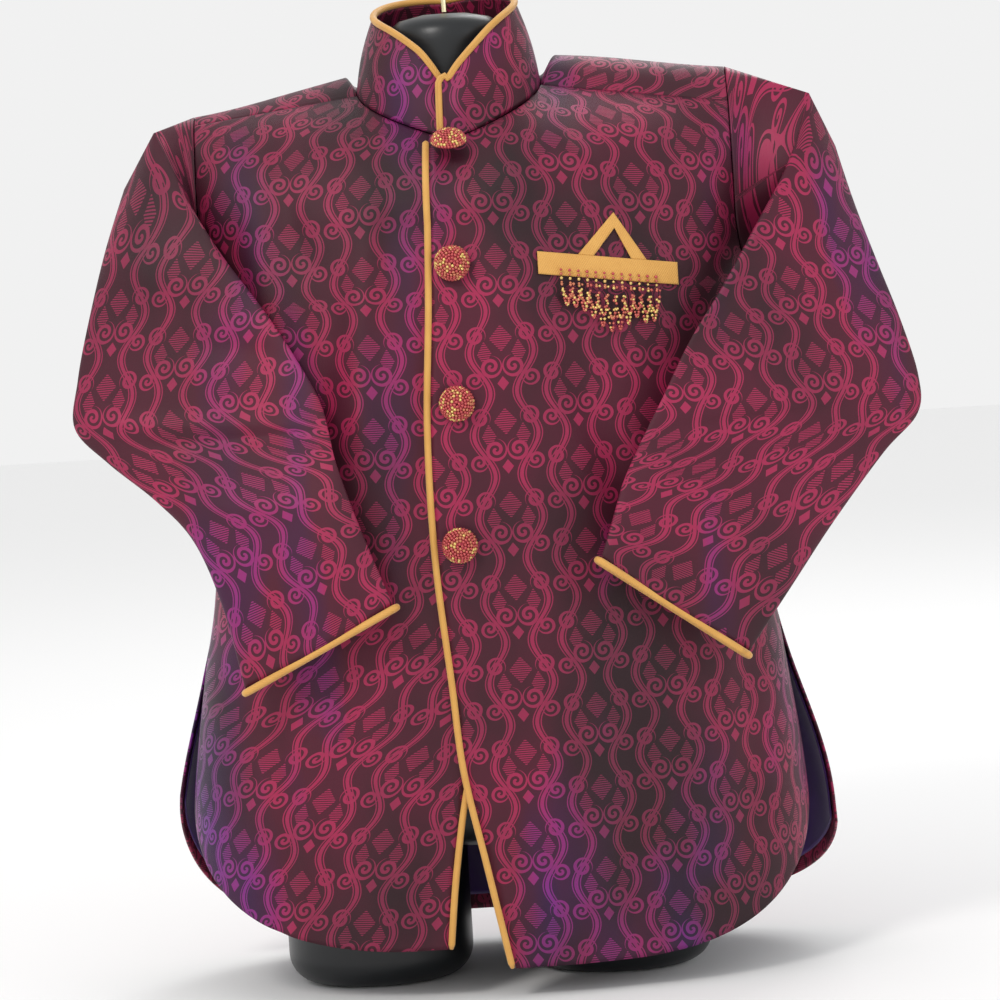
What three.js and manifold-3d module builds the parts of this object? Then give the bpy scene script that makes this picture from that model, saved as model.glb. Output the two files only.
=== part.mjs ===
// A child's brocade sherwani coat on a limbless hanging dress form.
//
// Millimetres, +Z up, the coat's front towards -Y. The wearer's left is +X.
// Heights in the tables are measured from the neck pit, the low point of the front neckline.
// The last lines move the whole part so that its origin is at the bottom centre of its box.

import * as THREE from "three";
import { mergeVertices } from "three/addons/utils/BufferGeometryUtils.js";
import Module from "manifold-3d";

// ---------------------------------------------------------------- driving sizes

const CLOTH = 1.6; // brocade with its lining
const COLLAR_CLOTH = 2.0; // brocade on stiffening
const LINING_CLOTH = 1.0;
const SEAM_GAP = 0.3;
const OVERLAP_RISE = 3.4; // how far the left front stands in front of the right one
const COLLAR_RISE = 4.2; // the same for the collar's overlapping end
const PIPING_RADIUS = 1.9;
const PIPING_SIDES = 6;

const SQUARENESS = 2.5; // exponent of the body's superellipse sections
const CHEST_HEIGHT = -45; // above this the panels close over the shoulders
const UNDERARM_HEIGHT = -88;
const RIDGE_DEPTH = 5; // the shoulder ridge lies this far behind the neck's axis
const ARMHOLE_X = { right: 144.5, left: 156 };
const SEAM_TIP_HEIGHT = { right: 16, left: 12 }; // outer end of the forward shoulder seam
const SLIT_TOP = -270;

const NECK = { x: 52, y: 48, centreY: -4, rise: 42, power: 1.1 };
const SEAM_NECK_ANGLE = 85; // where the shoulder seam meets the collar
const COLLAR_TOP = { x: 41, y: 40 };
const COLLAR_LIFT = 2.2; // clears the fronts, which pass outside its base at the overlap
const COLLAR_LEAN = 0.04; // the collar's left side stands this much higher for each mm of x

const HEM = {
  right: { height: -447, lift: 86, start: 10 },
  left: { height: -459, lift: 86, start: 15 },
};
const BACK_HEM = { height: -458, liftRight: 92, liftLeft: 54, start: 22 };
const BACK_FLARE = { right: 10, left: 15, depth: 120 };

// Half widths of the body to each side of the neck's axis, and depths in front and behind it.
const BODY = [
  { height: -462, right: 177, left: 185, front: 95, back: 92 },
  { height: -366, right: 170, left: 180, front: 93, back: 86 },
  { height: -300, right: 160, left: 172, front: 91, back: 78 },
  { height: -254, right: 151, left: 166, front: 90, back: 70 },
  { height: -180, right: 144, left: 160, front: 88, back: 62 },
  { height: UNDERARM_HEIGHT, right: 150, left: 163, front: 82, back: 70 },
  { height: CHEST_HEIGHT, right: 152, left: 164, front: 76, back: 68 },
];

// Height of the shoulder ridge along x.
const RIDGE = [
  { x: -155, height: 18.5 },
  { x: -146, height: 20.5 },
  { x: -100, height: 31.5 },
  { x: -50, height: 41 },
  { x: 0, height: 48 },
  { x: 54, height: 45 },
  { x: 100, height: 41 },
  { x: 158, height: 31 },
  { x: 168, height: 29 },
];

// x of the two centre-front edges: the left front's lies on top, the right front's beneath it.
const EDGES = [
  { height: -462, over: 8.4, under: -31 },
  { height: -400, over: -3, under: -23 },
  { height: -347, over: -12.6, under: -12 },
  { height: -300, over: -16, under: 6 },
  { height: -230, over: -21, under: 22 },
  { height: -160, over: -21, under: 25 },
  { height: -87, over: -16, under: 25 },
  { height: 0, over: -12, under: 24 },
];

// Height of the collar band around the neck, by the angle from the front centre.
const COLLAR_HEIGHT = [
  { angle: 0, height: 31 },
  { angle: 8, height: 36.5 },
  { angle: 20, height: 41 },
  { angle: 38, height: 45 },
  { angle: 55, height: 45.5 },
  { angle: 90, height: 42 },
  { angle: 180, height: 34 },
];
const COLLAR_OVER_END = -4; // degrees past the front centre
const COLLAR_UNDER_END = 372;

// A sleeve's sections from the cap to the cuff. Each is two half ellipses between the outer and
// the inner crease: the front one passes "forward" in front of their middle and "up" above it,
// the back one passes "behind" and "down".
const SLEEVE = {
  right: [
    { outer: [-186, -16, -17], inner: [-148, -50, -26], forward: -13, up: 35, behind: 19, down: 54, straight: 2 },
    { outer: [-198, -34, -52], inner: [-131, -66, -55], forward: 7, up: 4, behind: 15, down: 34, straight: 1 },
    { outer: [-210, -42, -93], inner: [-108, -80, -88], forward: 7, up: 0, behind: 10, down: 12, straight: 1 },
    { outer: [-217, -46, -122], inner: [-92, -88, -115], forward: 7, up: 0, behind: 8, down: 2, straight: 1 },
    { outer: [-220, -50, -148], inner: [-81, -94, -137], forward: 7, up: 0, behind: 8, down: 0, straight: 1 },
    { outer: [-202, -58, -168], inner: [-77, -99, -153], forward: 6, up: 0, behind: 8, down: 0, straight: 1 },
    { outer: [-176, -68, -190], inner: [-74, -103, -170], forward: 6, up: 0, behind: 7, down: 0, straight: 1 },
    { outer: [-156, -77, -213], inner: [-68, -106, -191], forward: 8, up: 0, behind: 8, down: 0, straight: 1 },
    { outer: [-142, -86, -249], inner: [-59, -109, -218], forward: 8, up: 0, behind: 7, down: 0, straight: 1 },
    { outer: [-132, -92, -295], inner: [-47, -112, -251], forward: 5, up: 0, behind: 5, down: 0, straight: 1 },
  ],
  left: [
    { outer: [216, -12, -17], inner: [189, -34, -24], forward: -8, up: 34, behind: 18, down: 60, straight: 2 },
    { outer: [224, -22, -49], inner: [168, -56, -54], forward: 7, up: 4, behind: 16, down: 38, straight: 1 },
    { outer: [235, -30, -84], inner: [144, -76, -90], forward: 7, up: 0, behind: 12, down: 14, straight: 1 },
    { outer: [245, -38, -115], inner: [124, -88, -118], forward: 7, up: 0, behind: 9, down: 3, straight: 1 },
    { outer: [253, -44, -147], inner: [108, -96, -146], forward: 7, up: 0, behind: 8, down: 0, straight: 1 },
    { outer: [251, -50, -168], inner: [98, -101, -163], forward: 6, up: 0, behind: 8, down: 0, straight: 1 },
    { outer: [230, -60, -188], inner: [89, -105, -179], forward: 6, up: 0, behind: 7, down: 0, straight: 1 },
    { outer: [199, -72, -224], inner: [82, -108, -193], forward: 8, up: 0, behind: 8, down: 0, straight: 1 },
    { outer: [174, -83, -256], inner: [75, -110, -213], forward: 8, up: 0, behind: 7, down: 0, straight: 1 },
    { outer: [147, -92, -291], inner: [68, -112, -232], forward: 5, up: 0, behind: 5, down: 0, straight: 1 },
  ],
};
const SLEEVE_COLUMNS = 28;
const SLEEVE_SIDE_WALL = 2.6; // the wall measured across a pressed crease
const CAP_VALLEY = 7; // how far the cap sinks back between the armhole and the crease
const CUFF_FOLD_RADIUS = 3.2;

const BUTTON = { radius: 9.7, dome: 6.2, rim: 1.2, shank: 1.6 };
const BUTTONS = {
  button_collar: { x: -1.5, height: -1, lookUp: 68, standOff: -1 },
  button_upper: { x: -3.6, height: -67, lookUp: 0, standOff: 3.2 },
  button_middle: { x: -5.6, height: -144, lookUp: 0, standOff: 3.2 },
  button_lower: { x: -8.7, height: -222, lookUp: 0, standOff: 3.2 },
};

const POCKET = { x0: 43.5, x1: 121, top0: -63.5, top1: -75, tall: 12.4 };
const POCKET_CLOTH = 1.2;
const PEAK = { foot0: 66, foot1: 104, tip: [87, -45], wide: 6 };
const FRINGE = { x0: 54, x1: 110, thick: 3.4 };
const FRINGE_DROP = [
  { along: 0, drop: 17 },
  { along: 0.25, drop: 22 },
  { along: 0.45, drop: 33 },
  { along: 0.55, drop: 33 },
  { along: 0.8, drop: 25 },
  { along: 1, drop: 22 },
];

// The dress form: half width, front and back depth, and the squareness of each level section.
const FORM = [
  { height: -402, half: 30, front: 18, back: 22, square: 2.2 },
  { height: -396, half: 84, front: 42, back: 48, square: 2.2 },
  { height: -384, half: 112, front: 56, back: 62, square: 2.2 },
  { height: -360, half: 123, front: 63, back: 70, square: 2.3 },
  { height: -320, half: 125, front: 64, back: 70, square: 2.3 },
  { height: -260, half: 117, front: 60, back: 60, square: 2.3 },
  { height: -190, half: 106, front: 60, back: 50, square: 2.3 },
  { height: -120, half: 116, front: 66, back: 54, square: 2.3 },
  { height: -70, half: 130, front: 62, back: 54, square: 2.3 },
  { height: -35, half: 132, front: 54, back: 48, square: 2.1 },
  { height: -12, half: 126, front: 42, back: 40, square: 1.8 },
  { height: 3, half: 110, front: 34, back: 34, square: 1.6 },
  { height: 13, half: 80, front: 31, back: 31, square: 1.6 },
  { height: 21, half: 50, front: 30, back: 30, square: 1.8 },
  { height: 30, half: 36, front: 29, back: 30, square: 2 },
  { height: 50, half: 32, front: 29, back: 31, square: 2 },
  { height: 62, half: 31, front: 28, back: 30, square: 2 },
  { height: 68, half: 25, front: 23, back: 25, square: 2 },
  { height: 70.5, half: 12, front: 11, back: 12, square: 2 },
];
const FORM_SIDES = 28;
const STUB = { x: 69, half: 53, front: 52, back: 56, top: -362, bottom: -476, rounding: 16, foot: 0.72 };
const HOOK = { wire: 1.6, shank: 118, bend: 20, tip: 14, sides: 8 };

// ---------------------------------------------------------------- small tools

const sides = { right: -1, left: 1 };
const radians = THREE.MathUtils.degToRad;
const { lerp, clamp, smoothstep } = THREE.MathUtils;
const point = (x, y, z) => new THREE.Vector3(x, y, z);
const spread = (count, make) => Array.from({ length: count + 1 }, (_, i) => make(i / count));

// Reads one column of a table at a key, on a smooth curve through its rows.
function read(rows, key, at, name) {
  const last = rows.length - 1;
  const value = clamp(at, rows[0][key], rows[last][key]);
  let i = 0;
  while (i < last - 1 && value > rows[i + 1][key]) i += 1;
  const slope = (j) => {
    const a = rows[Math.max(j - 1, 0)];
    const b = rows[Math.min(j + 1, last)];
    return (b[name] - a[name]) / (b[key] - a[key]);
  };
  const span = rows[i + 1][key] - rows[i][key];
  const t = (value - rows[i][key]) / span;
  const curve = (1 + 2 * t) * (1 - t) ** 2 * rows[i][name] + t * t * (3 - 2 * t) * rows[i + 1][name];
  return curve + span * (t * (1 - t) ** 2 * slope(i) - t * t * (1 - t) * slope(i + 1));
}

// Turns a geometry's faces outwards if its volume comes out negative.
function facingOut(positions, index) {
  const corner = (i) => point(...positions[i]);
  let volume = 0;
  for (let i = 0; i < index.length; i += 3) {
    const [a, b, c] = [corner(index[i]), corner(index[i + 1]), corner(index[i + 2])];
    volume += a.dot(b.cross(c));
  }
  const turned = volume < 0 ? index.slice().reverse() : index;
  const geometry = new THREE.BufferGeometry();
  geometry.setAttribute("position", new THREE.Float32BufferAttribute(positions.flat(), 3));
  geometry.setIndex(turned);
  geometry.computeVertexNormals();
  return geometry;
}

// Two triangles for each cell of a grid of vertex numbers, optionally joined round across its rows.
function cells(number, rows, columns, loop, flip) {
  const index = [];
  const width = loop ? columns : columns - 1;
  for (let i = 0; i < rows - 1; i += 1) {
    for (let j = 0; j < width; j += 1) {
      const k = (j + 1) % columns;
      const quad = [number(i, j), number(i + 1, j), number(i + 1, k), number(i, k)];
      const [a, b, c, d] = flip ? quad.reverse() : quad;
      index.push(a, b, c, a, c, d);
    }
  }
  return index;
}

// A cloth wall between an outer and an inner grid of points, closed along its borders.
function wall(outer, inner, loop = false) {
  const rows = outer.length;
  const columns = outer[0].length;
  const count = rows * columns;
  const positions = [...outer.flat(), ...inner.flat()].map((p) => [p.x, p.y, p.z]);
  const out = (i, j) => i * columns + j;
  const into = (i, j) => count + i * columns + j;
  const index = [
    ...cells(out, rows, columns, loop, false),
    ...cells(into, rows, columns, loop, true),
    ...cells((i, j) => (i ? into(0, j) : out(0, j)), 2, columns, loop, true),
    ...cells((i, j) => (i ? into(rows - 1, j) : out(rows - 1, j)), 2, columns, loop, false),
  ];
  if (!loop) {
    index.push(...cells((i, j) => (i ? into(j, 0) : out(j, 0)), 2, rows, false, false));
    index.push(...cells((i, j) => (i ? into(j, columns - 1) : out(j, columns - 1)), 2, rows, false, true));
  }
  return facingOut(positions, index);
}

// The unit normals of a grid of points, away from the given centre line.
function normals(grid, away) {
  const at = (i, j) => grid[clamp(i, 0, grid.length - 1)][clamp(j, 0, grid[0].length - 1)];
  return grid.map((row, i) =>
    row.map((p, j) => {
      const along = at(i, j + 1).clone().sub(at(i, j - 1));
      const up = at(i + 1, j).clone().sub(at(i - 1, j));
      const normal = along.cross(up).normalize();
      const outward = p.clone().sub(away);
      return normal.dot(outward) < 0 ? normal.negate() : normal;
    }),
  );
}

// A grid moved along its normals: outwards is positive.
function moved(grid, distance, away) {
  const normal = normals(grid, away);
  return grid.map((row, i) => row.map((p, j) => p.clone().addScaledVector(normal[i][j], distance)));
}

// A body through a stack of closed rings, with flat ends, or joined end to end.
function loft(rings, joined = false) {
  const columns = rings[0].length;
  const stack = joined ? [...rings, rings[0]] : rings;
  const rows = joined ? rings.length : stack.length;
  const positions = rings.flat().map((p) => [p.x, p.y, p.z]);
  const number = (i, j) => (i % rows) * columns + j;
  const index = cells(number, stack.length, columns, true, false);
  if (!joined) {
    const middle = (ring) => ring.reduce((sum, p) => sum.add(p), point(0, 0, 0)).divideScalar(columns);
    const first = positions.length;
    positions.push(middle(rings[0]).toArray(), middle(rings[rows - 1]).toArray());
    for (let j = 0; j < columns; j += 1) {
      const k = (j + 1) % columns;
      index.push(first, number(0, j), number(0, k));
      index.push(first + 1, number(rows - 1, k), number(rows - 1, j));
    }
  }
  return facingOut(positions, index);
}

// A cord of round section along points; "side" gives a direction that the path never follows.
function cord(path, radius, count, side, joined = false) {
  const last = path.length - 1;
  const rings = path.map((p, i) => {
    const before = joined ? path[(i + last) % path.length] : path[Math.max(i - 1, 0)];
    const after = joined ? path[(i + 1) % path.length] : path[Math.min(i + 1, last)];
    const along = after.clone().sub(before).normalize();
    const across = along.clone().cross(side(p)).normalize();
    const other = across.clone().cross(along);
    return spread(count - 1, (t) => {
      const angle = (2 * Math.PI * t * (count - 1)) / count;
      const step = other.clone().multiplyScalar(radius * Math.cos(angle));
      return p.clone().add(step).addScaledVector(across, radius * Math.sin(angle));
    });
  });
  return loft(rings, joined);
}

// ---------------------------------------------------------------- the body's surface

const sideOf = (x) => (x < 0 ? "right" : "left");
const halfWidth = (side, height) => read(BODY, "height", height, side);

// Depth of the body's section at x: negative on the front, positive on the back.
function depth(x, height, face) {
  const reach = clamp(Math.abs(x) / halfWidth(sideOf(x), height), 0, 1);
  const share = (1 - reach ** SQUARENESS) ** (1 / SQUARENESS);
  return (face === "front" ? -1 : 1) * read(BODY, "height", height, face) * share;
}

// The angle round a section, in degrees from its centre line, at which it reaches x.
function angleAt(x, height) {
  const reach = clamp(Math.abs(x) / halfWidth(sideOf(x), height), 0, 1);
  return (Math.sign(x) * Math.asin(reach ** (SQUARENESS / 2)) * 180) / Math.PI;
}

// A point of a level section, by the angle from its centre line, with extra half width.
function onBody(angle, height, face, extra = 0) {
  const s = Math.sin(radians(angle));
  const c = Math.max(Math.cos(radians(angle)), 0);
  const width = halfWidth(sideOf(s), height) + extra;
  const x = Math.sign(s) * width * Math.abs(s) ** (2 / SQUARENESS);
  const y = read(BODY, "height", height, face) * c ** (2 / SQUARENESS);
  return point(x, face === "front" ? -y : y, height);
}

// The dome over the shoulders: at each x a curve from the back (0 degrees) over the ridge (90)
// to the front (180).
function onDome(x, sweep) {
  const c = Math.cos(radians(sweep));
  const reach = c > 0 ? depth(x, CHEST_HEIGHT, "back") - RIDGE_DEPTH : RIDGE_DEPTH - depth(x, CHEST_HEIGHT, "front");
  const rise = read(RIDGE, "x", x, "height") - CHEST_HEIGHT;
  return point(x, RIDGE_DEPTH + reach * c, CHEST_HEIGHT + rise * Math.sin(radians(sweep)));
}

// The sweep at which the dome's front reaches a height.
function sweepAt(x, height) {
  const rise = read(RIDGE, "x", x, "height") - CHEST_HEIGHT;
  return 180 - (Math.asin(clamp((height - CHEST_HEIGHT) / rise, 0, 1)) * 180) / Math.PI;
}

// The neckline, by the angle from the front centre.
function onNeckline(angle) {
  const a = radians(angle);
  const height = NECK.rise * Math.abs(Math.sin(a / 2)) ** NECK.power;
  return point(NECK.x * Math.sin(a), NECK.centreY - NECK.y * Math.cos(a), height);
}

// The shoulder seam from the neckline (0) to the armhole (1).
function onShoulderSeam(side, t) {
  const neck = onNeckline(sides[side] * SEAM_NECK_ANGLE);
  const x = sides[side] * ARMHOLE_X[side];
  const tip = onDome(x, sweepAt(x, SEAM_TIP_HEIGHT[side]));
  return neck.lerp(tip, t);
}

const armholeAngle = (side) => Math.abs(angleAt(sides[side] * ARMHOLE_X[side], CHEST_HEIGHT));

// The angle at which a panel ends: the side seam below the underarm, the armhole above it.
function panelEnd(side, height) {
  const drop = clamp((CHEST_HEIGHT - height) / (CHEST_HEIGHT - UNDERARM_HEIGHT), 0, 1);
  return 90 - (90 - armholeAngle(side)) * Math.sqrt(1 - drop * drop);
}

// The armhole, by an angle: 0 at the back, 90 at the shoulder tip, 180 at the front, 270 under the arm.
function onArmhole(side, angle) {
  const s = Math.sin(radians(angle));
  if (s >= 0) return onDome(sides[side] * ARMHOLE_X[side], angle);
  const height = lerp(CHEST_HEIGHT, UNDERARM_HEIGHT, -s);
  const turn = 90 - (90 - armholeAngle(side)) * Math.abs(Math.cos(radians(angle)));
  return onBody(sides[side] * turn, height, Math.cos(radians(angle)) < 0 ? "front" : "back");
}

// How far the left front stands out where it covers the right one.
const overlapRise = (x) => OVERLAP_RISE * (1 - smoothstep(x, 32, 78));

// A point on the outside of the left front, for what is sewn on it.
function onLeftFront(x, height) {
  if (height <= CHEST_HEIGHT) return point(x, depth(x, height, "front") - overlapRise(x), height);
  const p = onDome(x, sweepAt(x, height));
  return point(x, p.y - overlapRise(x), height);
}

// ---------------------------------------------------------------- the panels

const FIXED_LEVELS = [-250, -215, -180, -150, -120, UNDERARM_HEIGHT, -80, -70, -58, CHEST_HEIGHT];
const SKIRT_ROWS = 7;
const DOME_ROWS = 8;
const NECK_COLUMNS = 5;
const SHOULDER_COLUMNS = 9;
const NECK_SHARE = 0.24;

// Fractions across a front: the columns under the neckline, then those under the shoulder.
const frontColumns = [
  ...spread(NECK_COLUMNS, (t) => t * NECK_SHARE),
  ...spread(SHOULDER_COLUMNS, (t) => lerp(NECK_SHARE, 1, t)).slice(1),
];

// The hem's height at an angle round the body: level in front, rising to a round side corner.
function hemHeight(hem, angle) {
  const t = clamp((Math.abs(angle) - hem.start) / (90 - hem.start), 0, 1);
  return hem.height + hem.lift * t * t;
}

// A front panel as a grid of rows from the hem up and columns from the centre edge to the side.
function frontGrid(side) {
  const edge = side === "left" ? "over" : "under";
  const s = sides[side];
  const angle = (share, height) => {
    const start = angleAt(read(EDGES, "height", height, edge), height);
    return lerp(start, s * panelEnd(side, height), share);
  };
  const low = frontColumns.map((share) => hemHeight(HEM[side], angle(share, HEM[side].height)));
  const skirt = spread(SKIRT_ROWS, (t) => low.map((height) => lerp(height, FIXED_LEVELS[0], t)));
  const levels = FIXED_LEVELS.slice(1).map((height) => low.map(() => height));
  const rows = [...skirt, ...levels].map((heights) =>
    heights.map((height, j) => onBody(angle(frontColumns[j], height), height, "front")),
  );
  const start = (Math.asin(read(EDGES, "height", 0, edge) / NECK.x) * 180) / Math.PI;
  const top = frontColumns.map((share) =>
    share < NECK_SHARE
      ? onNeckline(lerp(start, s * SEAM_NECK_ANGLE, share / NECK_SHARE))
      : onShoulderSeam(side, (share - NECK_SHARE) / (1 - NECK_SHARE)),
  );
  const chest = rows[rows.length - 1];
  const dome = spread(DOME_ROWS, (t) =>
    chest.map((p, j) => {
      const end = sweepAt(p.x, top[j].z);
      const reached = onDome(p.x, end);
      const miss = top[j].clone().sub(reached);
      return onDome(p.x, lerp(180, end, t)).addScaledVector(miss, t * t);
    }),
  ).slice(1);
  const grid = [...rows, ...dome];
  grid.forEach((row) => (row[row.length - 1].y -= row[0].z < CHEST_HEIGHT ? SEAM_GAP / 2 : 0));
  grid[grid.length - 1].forEach((p) => p.add(point(0, -SEAM_GAP / 2, -SEAM_GAP / 2)));
  if (side === "left") grid.forEach((row) => row.forEach((p) => (p.y -= overlapRise(p.x))));
  return grid;
}

const BACK_COLUMNS = 22;
const BACK_NECK = 0.3; // share of the back's columns that end at the neckline

// Extra half width of the back below the side slits.
function backFlare(x, height) {
  const fall = clamp((SLIT_TOP - height) / BACK_FLARE.depth, 0, 1);
  return BACK_FLARE[sideOf(x)] * smoothstep(fall, 0, 1);
}

// The back panel, from the wearer's right side to the left one.
function backGrid() {
  const shares = spread(BACK_COLUMNS, (t) => 2 * t - 1);
  const low = shares.map((share) => {
    const lift = share < 0 ? BACK_HEM.liftRight : BACK_HEM.liftLeft;
    return hemHeight({ ...BACK_HEM, lift }, 90 * share);
  });
  const skirt = spread(SKIRT_ROWS, (t) => low.map((height) => lerp(height, FIXED_LEVELS[0], t)));
  const levels = FIXED_LEVELS.slice(1).map((height) => low.map(() => height));
  const rows = [...skirt, ...levels].map((heights) =>
    heights.map((height, j) => {
      const share = shares[j];
      return onBody(share * panelEnd(sideOf(share), height), height, "back", backFlare(share, height));
    }),
  );
  const top = shares.map((share) => {
    const reach = Math.abs(share);
    const side = sideOf(share);
    if (reach > BACK_NECK) return onShoulderSeam(side, (reach - BACK_NECK) / (1 - BACK_NECK));
    return onNeckline(180 - (180 - SEAM_NECK_ANGLE) * (share / BACK_NECK));
  });
  const chest = rows[rows.length - 1];
  const dome = spread(DOME_ROWS + 2, (t) =>
    chest.map((p, j) => {
      const reach = clamp((Math.abs(shares[j]) - 0.2) / (BACK_NECK - 0.2), 0, 1);
      const overTheRidge = sweepAt(p.x, top[j].z);
      const end = lerp(180 - overTheRidge, overTheRidge, reach);
      const miss = top[j].clone().sub(onDome(p.x, end));
      return onDome(p.x, lerp(0, end, t)).addScaledVector(miss, t * t);
    }),
  ).slice(1);
  const grid = [...rows, ...dome];
  grid.forEach((row) => {
    if (row[0].z >= CHEST_HEIGHT) return;
    row[0].y += SEAM_GAP / 2;
    row[row.length - 1].y += SEAM_GAP / 2;
  });
  grid[grid.length - 1].forEach((p) => p.add(point(0, SEAM_GAP / 2, SEAM_GAP / 2)));
  return grid;
}

const BODY_CENTRE = point(0, 0, -150);

function panel(grid) {
  return wall(grid, moved(grid, -CLOTH, BODY_CENTRE));
}

// The back's lining shows inside the skirt, through the slits and the open front.
function backLining(grid) {
  const skirt = grid.slice(0, SKIRT_ROWS + 3).map((row) => row.slice(1, -1));
  skirt[0] = skirt[0].map((p, j) => p.clone().lerp(skirt[1][j], 0.12));
  const face = moved(skirt, -CLOTH - 3 * SEAM_GAP, BODY_CENTRE);
  return wall(face, moved(face, -LINING_CLOTH, BODY_CENTRE));
}

// Piping beyond a front's centre edge, at the middle of the wall.
function edgePiping(grid, side) {
  const s = sides[side];
  const step = point(-s * (PIPING_RADIUS + SEAM_GAP), CLOTH / 2, 0);
  const hidden = side === "right" ? 4 : 2; // rows under the collar and the left front
  const path = grid.slice(0, -hidden).map((row) => row[0].clone().add(step));
  return cord(path, PIPING_RADIUS, PIPING_SIDES, () => point(1, 0, 0));
}

// ---------------------------------------------------------------- collar

// A point on the collar's outside: the angle runs from the over end round the back to the under end.
function onCollar(angle, share) {
  const a = radians(angle);
  const base = onNeckline(angle > 180 ? angle - 360 : angle);
  const around = Math.abs(angle > 180 ? 360 - angle : angle);
  const tuck = smoothstep(angle, 335, 362) * 7;
  const tall = read(COLLAR_HEIGHT, "angle", around, "height") - tuck + COLLAR_LEAN * base.x;
  const rise = COLLAR_RISE * (1 - smoothstep(angle, COLLAR_OVER_END, 42));
  const x = (lerp(NECK.x, COLLAR_TOP.x, share) + rise) * Math.sin(a);
  const y = NECK.centreY - (lerp(NECK.y, COLLAR_TOP.y, share) + rise) * Math.cos(a);
  return point(x, y, base.z + COLLAR_LIFT + share * tall);
}

const COLLAR_COLUMNS = 44;
const COLLAR_ROWS = 4;

const collarAngles = spread(COLLAR_COLUMNS, (t) => lerp(COLLAR_OVER_END, COLLAR_UNDER_END, t));

function collar() {
  const grid = spread(COLLAR_ROWS, (share) => collarAngles.map((angle) => onCollar(angle, share)));
  const inner = grid.map((row) =>
    row.map((p) => {
      const out = point(p.x, p.y - NECK.centreY, 0).normalize();
      return p.clone().addScaledVector(out, -COLLAR_CLOTH);
    }),
  );
  return wall(grid, inner);
}

// Piping up the over end and along the collar's top.
function collarPiping() {
  const off = PIPING_RADIUS + SEAM_GAP;
  const inward = (p) => point(p.x, p.y - NECK.centreY, 0).normalize().multiplyScalar(-COLLAR_CLOTH / 2);
  const place = (angle, share, side, up) => {
    const p = onCollar(angle, share);
    const along = point(-Math.cos(radians(angle)), -Math.sin(radians(angle)), 0);
    return p.clone().add(inward(p)).addScaledVector(along, side).add(point(0, 0, up));
  };
  // The top edge is steep near the front, so the cord stands higher above it there.
  const steep = (angle) => 1 + 0.7 * (1 - smoothstep(Math.min(angle - COLLAR_OVER_END, 366 - angle), 20, 50));
  const end = spread(5, (t) => place(COLLAR_OVER_END, lerp(0.04, 0.9, t), off, 0));
  const corner = place(COLLAR_OVER_END, 1, off * 0.6, off * 0.5);
  const top = collarAngles.slice(1).map((angle) => place(angle, 1, 0, off * steep(angle)));
  return cord([...end, corner, ...top], PIPING_RADIUS, PIPING_SIDES, (p) =>
    point(p.x, p.y - NECK.centreY, 0).normalize(),
  );
}

// ---------------------------------------------------------------- sleeves

// A closed ring: two half ellipses between the creases, drawn in by "side" and "face".
function sleeveRing(row, side = 0, face = 0) {
  const outer = point(...row.outer);
  const inner = point(...row.inner);
  const middle = outer.clone().lerp(inner, 0.5);
  const reach = outer.clone().sub(middle);
  reach.setLength(reach.length() - side);
  const front = point(0, -row.forward, row.up);
  const back = point(0, row.behind, -row.down);
  front.setLength(front.length() - face);
  back.setLength(back.length() - face);
  return spread(SLEEVE_COLUMNS - 1, (t) => {
    const angle = (2 * Math.PI * t * (SLEEVE_COLUMNS - 1)) / SLEEVE_COLUMNS;
    const c = Math.cos(angle);
    const s = Math.sin(angle);
    const bulge = s >= 0 ? front : back;
    const along = Math.sign(c) * Math.abs(c) ** row.straight;
    return middle.clone().addScaledVector(reach, along).addScaledVector(bulge, Math.abs(s) ** row.straight);
  });
}

// The ring at the armhole, just outside the panels' edge and drawn in by "face".
function capRing(side, face = 0) {
  const x = sides[side];
  const middle = point(x * (ARMHOLE_X[side] + 2), 0, CHEST_HEIGHT + 8);
  return spread(SLEEVE_COLUMNS - 1, (t) => {
    const angle = (360 * t * (SLEEVE_COLUMNS - 1)) / SLEEVE_COLUMNS;
    const p = onArmhole(side, angle).add(point(x * 1.4, 0, 0));
    const inward = middle.clone().sub(p).setX(0).setLength(face);
    return p.add(inward);
  });
}

// A ring between the armhole and the creased ring, sunk back on the front side.
function valleyRing(cap, crease, share) {
  return cap.map((p, j) => {
    const angle = (360 * j) / SLEEVE_COLUMNS;
    const front = clamp(Math.sin(radians(angle - 95)), 0, 1);
    const sink = CAP_VALLEY * front * Math.sin(Math.PI * share);
    return p.clone().lerp(crease[j], share).add(point(0, sink, 0));
  });
}

function sleeveRings(side, across, face) {
  const cap = capRing(side, face);
  const rows = SLEEVE[side].map((row) => sleeveRing(row, across, face));
  return [cap, valleyRing(cap, rows[0], 0.35), valleyRing(cap, rows[0], 0.7), ...rows];
}

function sleeve(side) {
  return wall(sleeveRings(side, 0, 0), sleeveRings(side, SLEEVE_SIDE_WALL, CLOTH), true);
}

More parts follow.
